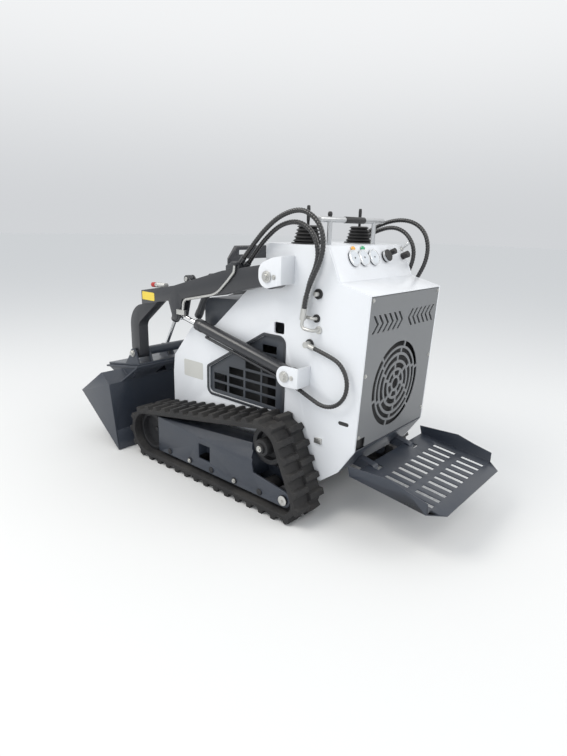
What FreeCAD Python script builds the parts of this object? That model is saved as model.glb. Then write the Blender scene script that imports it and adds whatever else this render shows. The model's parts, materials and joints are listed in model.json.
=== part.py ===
# Compact tracked skid steer loader with a stand-on platform.
# Millimetres. +X points to the bucket, +Y to the loader's left, +Z up.
# The origin is on the ground below the middle of the loader's overall length.
import FreeCAD
import Part
import Sketcher
import math
import os
import re
from FreeCAD import Placement, Rotation, Vector

os.makedirs("parts", exist_ok=True)
doc = FreeCAD.newDocument("loader")

# Driving dimensions: alias, value in millimetres, meaning
SIZES = (
    ("side_out", 295, "outer face of a side plate from the middle"),
    ("side_thick", 10, "side plate thickness"),
    ("skin_thick", 4, "thickness of the folded covers"),
    ("fit_gap", 0.3, "gap between covers and side plates"),
    ("sill_z", 153, "lower edge of the side plates"),
    ("nose_x", 504, "front edge of the side plates"),
    ("nose_low_z", 200, "top of the lower front chamfer"),
    ("nose_chamfer", 54, "length of the lower front chamfer"),
    ("nose_top_z", 452, "top of the upright front edge"),
    ("shoulder_x", 492, "front shoulder"),
    ("shoulder_z", 544, "front shoulder height"),
    ("deck_front_x", 354, "front end of the low deck"),
    ("deck_front_z", 706, "height of the low deck at its front"),
    ("deck_back_x", 178, "rear end of the low deck"),
    ("deck_back_z", 742, "height of the low deck at its rear"),
    ("tower_mid_x", -33, "bend in the tower's front edge"),
    ("tower_mid_z", 929, "height of that bend"),
    ("tower_top_x", -149, "front of the tower's top"),
    ("eave_z", 1064, "foot of the tower's upright front edge"),
    ("hood_z", 1145, "top of the hood"),
    ("console_top_x", -474, "upper edge of the console"),
    ("console_low_x", -534, "lower edge of the console's slope"),
    ("console_low_z", 1010, "height of that lower edge"),
    ("tail_top_x", -679, "top of the rear panel"),
    ("tail_top_z", 973, "height of the rear panel's top"),
    ("tail_low_x", -653, "foot of the rear panel"),
    ("tail_low_z", 336, "height of the rear panel's foot"),
    ("heel_x", -576, "bend below the rear panel"),
    ("heel_z", 220, "height of that bend"),
    ("sill_back_x", -490, "rear end of the sill"),
    ("port_front_x", 222, "front edge of the side opening"),
    ("port_rear_x", -262, "rear edge of the side opening"),
    ("port_low_z", 402, "lower edge of the side opening"),
    ("port_front_z", 530, "height of the opening's front edge"),
    ("port_top_x", -148, "front end of the opening's top edge"),
    ("port_top_z", 745, "top edge of the side opening"),
    ("port_round", 26, "corner radius of the side opening"),
    ("hatch_z", 765, "lower edge of the square hatch"),
    ("hatch_wide", 57, "width of the square hatch"),
    ("hatch_tall", 50, "height of the square hatch"),
    ("hatch_round", 9, "corner radius of the square hatch"),
    ("cover_front_x", 258, "front face of the engine cover"),
    ("cover_top_z", 872, "top of the engine cover at its front"),
    ("cover_round", 55, "radius of the engine cover's front edge"),
    ("track_mid_y", 390, "middle of a track"),
    ("track_wide", 180, "track width"),
    ("belt_thick", 22, "thickness of the rubber belt"),
    ("lug_tall", 20, "height of the lugs"),
    ("lug_pitch", 72, "pitch of the lugs"),
    ("lug_base", 36, "length of a lug at its foot"),
    ("lug_tip", 22, "length of a lug at its tip"),
    ("wheel_gap", 0.3, "gap between belt and wheels"),
    ("sprocket_x", -294, "sprocket centre"),
    ("sprocket_z", 300, "sprocket height"),
    ("sprocket_rad", 89, "sprocket radius"),
    ("sprocket_wide", 60, "sprocket width"),
    ("motor_rad", 60, "drive motor radius"),
    ("front_idler_x", 516, "front idler centre"),
    ("front_idler_rad", 103, "front idler radius"),
    ("rear_idler_x", -421, "rear idler centre"),
    ("rear_idler_rad", 56, "rear idler radius"),
    ("roller_rad", 42, "bottom roller radius"),
    ("roller_first_x", -280, "rearmost bottom roller"),
    ("roller_pitch", 157, "spacing of the bottom rollers"),
    ("wheel_wide", 96, "width of idlers and rollers"),
    ("axle_rad", 14, "axle radius of idlers and rollers"),
    ("frame_plate", 10, "track frame plate thickness"),
    ("frame_half", 66, "middle of the track to a track frame plate's outer face"),
    ("frame_front_x", 440, "front end of the track frame"),
    ("frame_back_x", -215, "rear end of the track frame"),
    ("frame_front_z", 250, "height of the frame's front end"),
    ("frame_back_z", 285, "height of the frame's rear end"),
    ("frame_core_z", 132, "underside of the frame's box"),
    ("frame_low_z", 64, "lower edge of the frame plates"),
    ("frame_arm_z", 165, "top of the rear arm"),
    ("frame_arm_rad", 35, "end radius of the rear arm"),
    ("frame_fold_z", 205, "height of the fold at the rear end"),
    ("frame_fold_deep", 40, "inward run of the folded facet"),
    ("beam_tall", 70, "height of the cross beams"),
    ("boom_pin_x", -234, "boom pivot"),
    ("boom_pin_z", 1014, "boom pivot height"),
    ("pin_rad", 18, "radius of the large pins"),
    ("pin_gap", 0.05, "running clearance round a pin"),
    ("arm_in", 303, "inner face of a boom arm"),
    ("arm_wide", 60, "width of a boom arm"),
    ("ear_gap", 8, "gap between boom arm and ear"),
    ("ear_thick", 10, "ear plate thickness"),
    ("ear_rad", 48, "radius of the boom ear"),
    ("ear_web_x", -300, "front face of the boom ear's web"),
    ("ear_low_z", 985, "lower edge of the boom ear"),
    ("ear_top_z", 1100, "top edge of the boom ear"),
    ("base_ear_rad", 45, "radius of the lift cylinder's ear"),
    ("base_web_x", -402, "front face of the lower ear's web"),
    ("base_pin_x", -342, "lift cylinder base pin"),
    ("base_pin_z", 611, "lift cylinder base pin height"),
    ("lift_pin_x", 390, "lift cylinder rod pin"),
    ("lift_pin_z", 774, "lift cylinder rod pin height"),
    ("lift_barrel_rad", 28, "lift cylinder barrel radius"),
    ("lift_barrel_start", 12, "base pin to the foot of the lift barrel"),
    ("lift_barrel_neck", 24, "radius of the lift barrel's neck"),
    ("lift_barrel_long", 614, "base pin to the end of the lift barrel"),
    ("lift_rod_rad", 15, "lift cylinder rod radius"),
    ("lift_tail", 270, "base pin to the inner end of the lift rod"),
    ("lift_eye_rad", 27, "radius of the lift cylinder eyes"),
    ("lift_eye_wide", 30, "width of the lift rod's eye"),
    ("lift_bore", 18.05, "bore of the lift barrel's base eye"),
    ("rod_gap", 0.05, "radial gap between rod and gland"),
    ("gland_long", 40, "length of a gland"),
    ("line_rad", 7, "radius of the steel line on a lift barrel"),
    ("arm_front_x", 670, "front end of the boom arm"),
    ("arm_front_top", 870, "top of the arm's front end"),
    ("arm_front_low", 797, "underside of the arm's front end"),
    ("arm_seam_x", 400, "seam of the arm's front doubler"),
    ("arm_seam_top", 918, "top of the arm at the seam"),
    ("arm_seam_low", 848, "underside of the arm at the seam"),
    ("arm_mid_x", 53, "bend in the arm's top edge"),
    ("arm_mid_top", 1016, "top of the arm at the bend"),
    ("arm_under_x", 80, "bend in the arm's underside"),
    ("arm_under_z", 902, "underside of the arm at that bend"),
    ("arm_tail_x", -180, "rear end of the arm's underside"),
    ("arm_tail_z", 968, "height of that end"),
    ("arm_end_rad", 52, "radius of the arm's rear end"),
    ("lug_thick", 10, "thickness of the cylinder lugs"),
    ("elbow_rad", 52, "inner radius of the drop arm's bend"),
    ("drop_front_x", 782, "front face of the drop arm"),
    ("drop_deep", 75, "depth of the drop arm"),
    ("drop_low_z", 552, "lower end of the drop arm's box"),
    ("gusset_x", 535, "rear end of the drop arm's gusset"),
    ("hinge_x", 745, "pivot of the attachment plate"),
    ("hinge_z", 520, "height of that pivot"),
    ("hinge_pin_rad", 12, "radius of the pivot pins"),
    ("hinge_eye_rad", 30, "radius of the drop arm's eye"),
    ("hinge_tube_rad", 25, "radius of the attachment's cross tube"),
    ("hinge_gap", 7, "gap between drop arm and attachment ears"),
    ("dump_turn", 98.6, "degrees from the level bucket to the dumped one"),
    ("hitch_off", 58, "pivot to the back of the attachment plate, square to it"),
    ("hitch_thick", 12, "attachment plate thickness"),
    ("hitch_half", 382, "half width of the attachment plate"),
    ("hitch_low", -40, "lower edge of the attachment plate from the pivot, bucket level"),
    ("hitch_top", 260, "upper edge of the attachment plate from the pivot, bucket level"),
    ("tilt_y", 87, "tilt cylinders from the middle"),
    ("tilt_off", 5, "tilt rod pin forward of the pivot, bucket level"),
    ("tilt_up", 100, "tilt rod pin above the pivot, bucket level"),
    ("tilt_base_x", 608, "tilt cylinder base pin"),
    ("tilt_base_z", 918, "tilt cylinder base pin height"),
    ("tilt_barrel_rad", 23, "tilt cylinder barrel radius"),
    ("tilt_barrel_start", 40, "base pin to the foot of the tilt barrel"),
    ("tilt_barrel_neck", 11, "radius of the tilt barrel's neck"),
    ("tilt_barrel_long", 285, "base pin to the end of the tilt barrel"),
    ("tilt_rod_rad", 11, "tilt cylinder rod radius"),
    ("tilt_tail", 224, "base pin to the inner end of the tilt rod"),
    ("tilt_eye_rad", 21, "radius of the tilt cylinder eyes"),
    ("tilt_eye_wide", 24, "width of the tilt cylinder eyes"),
    ("tilt_bore", 12.05, "bore of the tilt barrel's base eye"),
    ("cross_x", 560, "boom cross tube"),
    ("cross_z", 855, "boom cross tube height"),
    ("cross_rad", 30, "boom cross tube radius"),
    ("bucket_half", 530, "half width of the bucket"),
    ("bucket_plate", 8, "bucket plate thickness"),
    ("bucket_edge_x", 707, "cutting edge of the bucket"),
    ("bucket_edge_z", 4, "height of the cutting edge"),
    ("bucket_heel_x", 763, "rear end of the bucket's floor"),
    ("bucket_heel_z", 368, "height of that end"),
    ("bucket_knee_x", 835, "lower end of the bucket's back"),
    ("bucket_knee_z", 420, "height of that end"),
    ("bucket_lip_x", 1055, "upper lip of the bucket"),
    ("bucket_lip_z", 274, "height of the lip"),
    ("edge_long", 110, "cutting edge depth"),
    ("edge_thick", 14, "cutting edge thickness"),
    ("receiver_thick", 10, "thickness of the bucket's receiver plate"),
    ("step_half", 321, "half width of the platform"),
    ("step_front_x", -652, "front end of the platform floor"),
    ("step_front_z", 245, "height of its front end"),
    ("step_tip_x", -1056, "rear tip of the platform"),
    ("step_tip_z", 197, "height of the rear tip"),
    ("step_thick", 5, "platform plate thickness"),
    ("step_pin_x", -668, "platform hinge"),
    ("step_pin_z", 226, "platform hinge height"),
    ("step_pin_rad", 10, "platform hinge pin radius"),
    ("step_eye_rad", 16, "radius of the platform's knuckles"),
    ("step_eye_y", 140, "inner end of a bracket's knuckle"),
    ("step_eye_wide", 38, "width of a knuckle"),
    ("engine_half", 170, "half width of the engine"),
    ("engine_back_x", -60, "rear end of the engine"),
    ("engine_front_x", 240, "front end of the engine"),
    ("engine_top_z", 620, "top of the engine"),
    ("radiator_x", -640, "rear face of the radiator"),
    ("radiator_deep", 60, "radiator depth"),
    ("fan_z", 576, "centre of the fan guard"),
    ("fan_rad", 188, "radius of the fan guard's slots"),
    ("hose_rad", 10, "radius of a guarded hose"),
    ("hoop_x", 72, "rear face of the hoop between the arms"),
    ("hoop_foot", 950, "lower end of the hoop"),
    ("hoop_top", 1122, "top of the hoop"),
    ("chevron_z", 819, "lower end of the rear panel's chevrons"),
    ("bar_x", -385, "reference bar"),
    ("bar_z", 1246, "height of the reference bar"),
    ("bar_rad", 12, "radius of the reference bar"),
    ("bar_half", 245, "half length of the reference bar"),
    ("post_y", 170, "posts of the reference bar"),
    ("lever_x", -292, "control levers"),
    ("lever_y", 195, "control levers from the middle"),
    ("boot_rad", 68, "radius of a lever boot at its foot"),
    ("boot_tall", 76, "height of a lever boot"),
    ("lever_neck", 17, "bare part of a lever between boot and grip"),
    ("grip_tall", 62, "height of a lever's grip"),
    ("grip_rad", 14, "radius of a lever's grip"),
    ("trim_wide", 13, "width of the side opening's trim"),
    ("trim_thick", 4, "thickness of that trim"),
)

sheet = doc.addObject("Spreadsheet::Sheet", "Sizes")
for row, (alias, size, meaning) in enumerate(SIZES, 1):
    sheet.set(f"A{row}", alias)
    sheet.set(f"B{row}", str(size))
    sheet.set(f"C{row}", meaning)
    sheet.setAlias(f"B{row}", alias)
doc.recompute()

NAMES = {alias for alias, size, meaning in SIZES}
nodes = {}


def sheet_name(found):
    word = found.group(0)
    return "Sizes." + word if word in NAMES else word


def full(text):
    """An expression with the sheet's name before each alias."""
    return re.sub(r"[A-Za-z_]\w*", sheet_name, str(text))


def mm(text):
    """The value of an alias or of an expression made of aliases."""
    return float(sheet.evalExpression(full(text)))


def bind(item, prop, text):
    """Ties a property to the sheet."""
    item.setExpression(prop, full(text))


def keep(label, item):
    """Names a finished sub-part."""
    item.Label = label
    nodes[label] = item
    return item


def add_loop(sketch, points):
    """A closed polygon whose corners are tied to the sheet."""
    first = sketch.GeometryCount
    spots = [Vector(mm(px), mm(pz), 0) for px, pz in points]
    count = len(spots)
    for i in range(count):
        sketch.addGeometry(Part.LineSegment(spots[i], spots[(i + 1) % count]), False)
    for i in range(count):
        joint = Sketcher.Constraint("Coincident", first + i, 2, first + (i + 1) % count, 1)
        sketch.addConstraint(joint)
    for i, (px, pz) in enumerate(points):
        for kind, text in (("DistanceX", px), ("DistanceY", pz)):
            n = sketch.addConstraint(Sketcher.Constraint(kind, -1, 1, first + i, 1, mm(text)))
            bind(sketch, f"Constraints[{n}]", text)


def add_circle(sketch, px, pz, rad):
    """A circle whose centre and radius are tied to the sheet."""
    geo = sketch.addGeometry(Part.Circle(Vector(mm(px), mm(pz), 0), Vector(0, 0, 1), mm(rad)), False)
    for kind, text in (("DistanceX", px), ("DistanceY", pz)):
        n = sketch.addConstraint(Sketcher.Constraint(kind, -1, 1, geo, 3, mm(text)))
        bind(sketch, f"Constraints[{n}]", text)
    n = sketch.addConstraint(Sketcher.Constraint("Radius", geo, mm(rad)))
    bind(sketch, f"Constraints[{n}]", rad)


def new_sketch(body, role, name):
    """A sketch on one of the body's own planes."""
    plane = [f for f in body.Origin.OriginFeatures if f.Role == role][0]
    sketch = body.newObject("Sketcher::SketchObject", name)
    sketch.AttachmentSupport = (plane, [""])
    sketch.MapMode = "FlatFace"
    return sketch


def plate(label, outline, y_high, thick, loops=(), circles=(), rounds=()):
    """A plate across Y: outline in X and Z, from y_high down by thick.

    rounds holds x, z and radius of corners to be rounded.
    """
    body = doc.addObject("PartDesign::Body", label + "_body")
    sketch = new_sketch(body, "XZ_Plane", label + "_sketch")
    add_loop(sketch, outline)
    for loop in loops:
        add_loop(sketch, loop)
    for px, pz, rad in circles:
        add_circle(sketch, px, pz, rad)
    pad = body.newObject("PartDesign::Pad", label + "_pad")
    pad.Profile = sketch
    bind(pad, "Length", thick)
    bind(body, "Placement.Base.y", y_high)
    doc.recompute()
    for px, pz, rad in rounds:
        round_corner(body, label, px, pz, rad)
    return body


def round_corner(body, label, px, pz, rad):
    """Rounds the edge of a plate that runs along Y through (px, pz)."""
    base = body.Tip
    for i, edge in enumerate(base.Shape.Edges, 1):
        ends = [v.Point for v in edge.Vertexes]
        if all(abs(p.x - mm(px)) < 0.01 and abs(p.z - mm(pz)) < 0.01 for p in ends):
            fillet = body.newObject("PartDesign::Fillet", label + "_round")
            fillet.Base = (base, [f"Edge{i}"])
            bind(fillet, "Radius", rad)
            body.Tip = fillet
            doc.recompute()
            return
    raise ValueError(f"{label}: no corner at {px}, {pz}")


def bar_y(name, px, pz, y_low, long, rad):
    """A round bar along Y."""
    bar = doc.addObject("Part::Cylinder", name)
    bind(bar, "Radius", rad)
    bind(bar, "Height", long)
    bar.Placement = Placement(Vector(0, 0, 0), Rotation(Vector(1, 0, 0), -90))
    bind(bar, "Placement.Base.x", px)
    bind(bar, "Placement.Base.y", y_low)
    bind(bar, "Placement.Base.z", pz)
    return bar


def bar_x(name, x_low, long, rad):
    """A round bar along X, for pieces that are turned as a whole later."""
    bar = doc.addObject("Part::Cylinder", name)
    bind(bar, "Radius", rad)
    bind(bar, "Height", long)
    bar.Placement = Placement(Vector(0, 0, 0), Rotation(Vector(0, 1, 0), 90))
    bind(bar, "Placement.Base.x", x_low)
    return bar


def bar_z(name, px, py, z_low, long, rad):
    """An upright round bar."""
    bar = doc.addObject("Part::Cylinder", name)
    bind(bar, "Radius", rad)
    bind(bar, "Height", long)
    bind(bar, "Placement.Base.x", px)
    bind(bar, "Placement.Base.y", py)
    bind(bar, "Placement.Base.z", z_low)
    return bar


def block(name, x_low, y_low, z_low, long, wide, tall):
    """A rectangular block."""
    box = doc.addObject("Part::Box", name)
    for prop, text in (("Length", long), ("Width", wide), ("Height", tall)):
        bind(box, prop, text)
    for axis, text in (("x", x_low), ("y", y_low), ("z", z_low)):
        bind(box, "Placement.Base." + axis, text)
    return box


def fuse(name, items):
    """Items welded to one solid."""
    joined = doc.addObject("Part::MultiFuse", name)
    joined.Shapes = items
    return joined


def cut(name, base, tool):
    """A base with a tool taken away."""
    left = doc.addObject("Part::Cut", name)
    left.Base = base
    left.Tool = tool
    return left


def group(name, items):
    """Separate solids kept in one sub-part."""
    held = doc.addObject("Part::Compound", name)
    held.Links = items
    return held


def shaped(name, shape):
    """A sub-part whose shape is worked out here."""
    item = doc.addObject("Part::Feature", name)
    item.Shape = shape
    return item


def prism(points, y_low, y_high):
    """A solid with an outline in X and Z, given as numbers, between two Y values."""
    ring = [Vector(px, y_low, pz) for px, pz in points]
    wire = Part.makePolygon(ring + [ring[0]])
    return Part.Face(wire).extrude(Vector(0, y_high - y_low, 0))


def folded(points, thick, lead=None, tail=None):
    """The outline of a folded sheet: a path and its mitred copy on the right-hand side.

    lead and tail are the points before and after it, for mitred ends.
    """
    spots = [Vector(mm(px), mm(pz), 0) for px, pz in points]
    heads = [(b - a).normalize() for a, b in zip(spots, spots[1:])]
    first, last = heads[0], heads[-1]
    if lead:
        first = (spots[0] - Vector(mm(lead[0]), mm(lead[1]), 0)).normalize()
    if tail:
        last = (Vector(mm(tail[0]), mm(tail[1]), 0) - spots[-1]).normalize()
    heads = [first] + heads + [last]
    inner = []
    for i, spot in enumerate(spots):
        before = heads[i]
        after = heads[i + 1]
        normals = [Vector(d.y, -d.x, 0) for d in (before, after)]
        middle = (normals[0] + normals[1]).normalize()
        inner.append(spot + middle * (thick / middle.dot(normals[0])))
    return [(p.x, p.y) for p in spots + inner[::-1]]


def rounded(points):
    """A wire in X and Z through points, each (x, z) or (x, z, corner radius)."""
    edges = []
    count = len(points)
    spots = [Vector(p[0], 0, p[1]) for p in points]
    starts, ends = [], []
    for i in range(count):
        back = (spots[i - 1] - spots[i]).normalize()
        ahead = (spots[(i + 1) % count] - spots[i]).normalize()
        rad = points[i][2] if len(points[i]) > 2 else 0
        if rad:
            half = back.getAngle(ahead) / 2
            reach = rad / math.tan(half)
            middle = spots[i] + (back + ahead).normalize() * (rad / math.sin(half) - rad)
            starts.append(spots[i] + back * reach)
            ends.append(spots[i] + ahead * reach)
            edges.append((i, Part.Arc(starts[i], middle, ends[i]).toShape()))
        else:
            starts.append(spots[i])
            ends.append(spots[i])
    arcs = dict(edges)
    chain = []
    for i in range(count):
        if i in arcs:
            chain.append(arcs[i])
        following = starts[(i + 1) % count]
        if (following - ends[i]).Length > 1e-6:
            chain.append(Part.makeLine(ends[i], following))
    return Part.Wire(chain)


def arc_wire(points):
    """A wire through (x, z) points; ((x, z), (x, z)) is an arc to the first through the second."""
    ends = [p[0] if isinstance(p[0], tuple) else p for p in points]
    edges = []
    for i, point in enumerate(points):
        before = Vector(ends[i - 1][0], 0, ends[i - 1][1])
        here = Vector(ends[i][0], 0, ends[i][1])
        if isinstance(point[0], tuple):
            edges.append(Part.Arc(before, Vector(point[1][0], 0, point[1][1]), here).toShape())
        else:
            edges.append(Part.makeLine(before, here))
    return Part.Wire(edges)


def solid(wire, y_low, y_high):
    """A solid with a wire in X and Z as outline."""
    face = Part.Face(wire)
    face.translate(Vector(0, y_low, 0))
    return face.extrude(Vector(0, y_high - y_low, 0))


def slab(loops, y_low, y_high):
    """A plate across Y: the first loop is its outline, the others are holes."""
    wires = []
    for loop in loops:
        ring = [Vector(px, y_low, pz) for px, pz in loop]
        wires.append(Part.makePolygon(ring + [ring[0]]))
    return Part.makeFace(wires, "Part::FaceMakerBullseye").extrude(Vector(0, y_high - y_low, 0))


def panel(foot, top, loops, thick, side=1):
    """A plate along Y and the line from foot to top; loops hold (y, distance from the foot)."""
    start = Vector(foot[0], 0, foot[1])
    way = Vector(top[0] - foot[0], 0, top[1] - foot[1]).normalize()
    wires = []
    for loop in loops:
        ring = [start + way * v + Vector(0, y, 0) for y, v in loop]
        wires.append(Part.makePolygon(ring + [ring[0]]))
    face = Part.makeFace(wires, "Part::FaceMakerBullseye")
    return face.extrude(Vector(way.z, 0, -way.x) * (side * thick))


def ring_slot(y, v, inner, outer, start, end):
    """A curved slot between two radii, as a loop of short chords."""
    steps = 3 + int(outer / 80)
    turns = [start + (end - start) * k / steps for k in range(steps + 1)]
    loop = [(y + outer * math.cos(a), v + outer * math.sin(a)) for a in turns]
    return loop + [(y + inner * math.cos(a), v + inner * math.sin(a)) for a in reversed(turns)]


def rod_y(px, pz, y_low, y_high, rad):
    """A round bar along Y, as a shape."""
    return Part.makeCylinder(rad, y_high - y_low, Vector(px, y_low, pz), Vector(0, 1, 0))


def cord(points, rad):
    """A round cord along straight runs joined by tangent arcs."""
    spots = [Vector(*p) for p in points]
    edges = []
    bends = []
    here = spots[0]
    for before, corner, after in zip(spots, spots[1:], spots[2:]):
        back = before - corner
        ahead = after - corner
        half = back.getAngle(ahead) / 2
        reach = 0.45 * min(back.Length, ahead.Length)
        bend = reach * math.tan(half)
        bends.append(bend)
        back.normalize()
        ahead.normalize()
        first = corner + back * reach
        last = corner + ahead * reach
        middle = corner + (back + ahead).normalize() * (bend / math.sin(half) - bend)
        edges.append(Part.makeLine(here, first))
        edges.append(Part.Arc(first, middle, last).toShape())
        here = last
    edges.append(Part.makeLine(here, spots[-1]))
    path = Part.Wire(edges)
    ring = Part.Wire(Part.makeCircle(rad, spots[0], spots[1] - spots[0]))
    body = path.makePipeShell([ring], True, False)
    share = body.Volume / (math.pi * rad * rad * path.Length)
    print(f"cord of {path.Length:.0f}, tightest bend {min(bends):.0f}, share {share:.4f}")
    return body


def stub(start, end, rad):
    """A round bar between two points."""
    way = Vector(*end) - Vector(*start)
    return Part.makeCylinder(rad, way.Length, Vector(*start), way)


def block_shape(x_low, y_low, z_low, long, wide, tall):
    return Part.makeBox(long, wide, tall, Vector(x_low, y_low, z_low))


def half_space(point, normal):
    """A large block whose underside lies in the plane through the point, square to the normal."""
    box = Part.makeBox(4000, 4000, 400, Vector(-2000, -2000, 0))
    box.Placement = Placement(point, Rotation(Vector(0, 0, 1), normal))
    return box


def flip(shape, mirror):
    """The shape itself, or its mirror image on the other side."""
    return shape.copy() if mirror > 0 else shape.mirror(Vector(0, 0, 0), Vector(0, 1, 0))


def tangent(point, centre, rad, side):
    """Where a line from the point touches a circle, on its upper (1) or lower (-1) side."""
    dx, dz = point[0] - centre[0], point[1] - centre[1]
    angle = math.atan2(dz, dx) + side * math.acos(rad / math.hypot(dx, dz))
    return (centre[0] + rad * math.cos(angle), centre[1] + rad * math.sin(angle))


def hull_plate(first, second, y_low, y_high):
    """A plate round two discs, each x, z and radius."""
    ax, az, ar = first
    bx, bz, br = second
    way = math.atan2(bz - az, bx - ax)
    lean = math.acos((ar - br) / math.hypot(bx - ax, bz - az))
    ring = [(ax + ar * math.cos(way + lean), az + ar * math.sin(way + lean)),
            (bx + br * math.cos(way + lean), bz + br * math.sin(way + lean)),
            ((bx + br * math.cos(way - lean), bz + br * math.sin(way - lean)),
             (bx + br * math.cos(way), bz + br * math.sin(way))),
            (ax + ar * math.cos(way - lean), az + ar * math.sin(way - lean))]
    back = (ax - ar * math.cos(way), az - ar * math.sin(way))
    ring[0] = (ring[0], back)
    return solid(arc_wire(ring), y_low, y_high)


def offset_strip(points, thick):
    """The outline of a folded sheet given as numbers, thick to the right-hand side."""
    return folded([(str(px), str(pz)) for px, pz in points], thick)


# Side plates: one outline, a five-sided opening and a square hatch
SIDE_OUTLINE = (
    ("tail_low_x", "tail_low_z"),
    ("tail_top_x", "tail_top_z"),
    ("console_low_x", "console_low_z"),
    ("console_top_x", "hood_z"),
    ("tower_top_x", "hood_z"),
    ("tower_top_x", "eave_z"),
    ("tower_mid_x", "tower_mid_z"),
    ("deck_back_x", "deck_back_z"),
    ("deck_front_x", "deck_front_z"),
    ("shoulder_x", "shoulder_z"),
    ("nose_x", "nose_top_z"),
    ("nose_x", "nose_low_z"),
    ("nose_x - nose_chamfer", "sill_z"),
    ("sill_back_x", "sill_z"),
    ("heel_x", "heel_z"),
)
PORT = (
    ("port_front_x", "port_low_z"),
    ("port_front_x", "port_front_z"),
    ("port_top_x", "port_top_z"),
    ("port_rear_x", "port_top_z"),
    ("port_rear_x", "port_low_z"),
)
HATCH = (
    ("port_rear_x", "hatch_z"),
    ("port_rear_x + hatch_wide", "hatch_z"),
    ("port_rear_x + hatch_wide", "hatch_z + hatch_tall"),
    ("port_rear_x", "hatch_z + hatch_tall"),
)
PORT_ROUNDS = tuple((px, pz, "port_round") for px, pz in (PORT[0], PORT[3], PORT[4]))
HATCH_ROUNDS = tuple((px, pz, "hatch_round") for px, pz in HATCH)


def make_side_plates():
    for side, y_high in (("left", "side_out"), ("right", "side_thick - side_out")):
        label = "side_plate_" + side
        body = plate(label, SIDE_OUTLINE, y_high, "side_thick", (PORT, HATCH), (), PORT_ROUNDS + HATCH_ROUNDS)
        keep(label, body)


# Covers between the side plates, each a folded sheet: label, path, and the points before and after it
COVERS = (
    ("console", SIDE_OUTLINE[1:4], None, SIDE_OUTLINE[4]),
    ("hood", SIDE_OUTLINE[3:7] + (("tower_mid_x + 47", "tower_mid_z - 47 * (tower_mid_z - deck_back_z)"
                                   " / (deck_back_x - tower_mid_x)"),), SIDE_OUTLINE[2], None),
    ("front_panel", SIDE_OUTLINE[7:12], None, SIDE_OUTLINE[12]),
    ("belly_pan", SIDE_OUTLINE[11:] + SIDE_OUTLINE[:1], SIDE_OUTLINE[10], None),
)


def make_covers():
    half = mm("side_out - side_thick - fit_gap")
    for label, path, lead, tail in COVERS:
        keep(label, shaped(label, prism(folded(path, mm("skin_thick"), lead, tail), -half, half)))


def make_engine_cover():
    """A shell between the side plates, open below and behind."""
    half = mm("side_out - side_thick - fit_gap")
    front = mm("cover_front_x")
    top = mm("cover_top_z")
    wall = mm("skin_thick")
    rad = mm("cover_round")
    deck = mm("deck_front_z + (deck_front_x - cover_front_x) * (deck_back_z - deck_front_z)"
              " / (deck_front_x - deck_back_x) + fit_gap")
    rear = mm("deck_back_z + fit_gap")
    outer = rounded([(0, rear), (mm("deck_back_x"), rear), (front, deck), (front, top, rad), (0, top + 12)])
    inner = rounded([(-9, rear - 40), (front - wall, deck - 40), (front - wall, top - wall, rad - wall),
                     (-9, top + 12 - wall)])
    shell = solid(outer, -half, half).cut(solid(inner, wall - half, half - wall))
    keep("engine_cover", shaped("engine_cover", shell))


def make_rear_panel():
    """The fan guard plate with ring slots, swirling spokes and chevrons."""
    foot = (mm("tail_low_x"), mm("tail_low_z"))
    top = (mm("tail_top_x"), mm("tail_top_z"))
    long = math.dist(foot, top)
    half = mm("side_out - side_thick - fit_gap")
    low = 6
    high = long - 6
    loops = [[(-half, low), (half - 62, low), (half - 62, low + 45), (half, low + 45), (half, high),
              (-half, high)]]
    centre = (mm("fan_z") - foot[1]) / (top[1] - foot[1]) * long
    rings = [(36, 58), (70, 92), (104, 126), (138, 156), (166, mm("fan_rad"))]
    for inner, outer in rings:
        for k in range(6):
            start = math.radians(60 * k + 25 * inner / 100 + 5)
            end = start + math.radians(60) - 11 / inner
            loops.append(ring_slot(0, centre, inner, outer, start, end))
    v = (mm("chevron_z") - foot[1]) / (top[1] - foot[1]) * long
    for side in (1, -1):
        for k in range(6):
            y = side * (17 + 36 * k)
            loops.append([(y, v), (y + side * 16, v), (y + side * 36, v + 37), (y + side * 16, v + 74),
                          (y, v + 74), (y + side * 20, v + 37)])
    keep("rear_panel", shaped("rear_panel", panel(foot, top, loops, mm("skin_thick"))))


def make_engine():
    half = "side_out - side_thick - fit_gap"
    floor = "sill_z + skin_thick + fit_gap"
    keep("engine_block", block("engine_block", "engine_back_x", "-engine_half", floor,
                               "engine_front_x - engine_back_x", "2 * engine_half",
                               "engine_top_z - sill_z - skin_thick - fit_gap"))
    keep("radiator", block("radiator", "radiator_x", "-(" + half + ")", 335, "radiator_deep",
                           "2 * (" + half + ")", 445))


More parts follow.
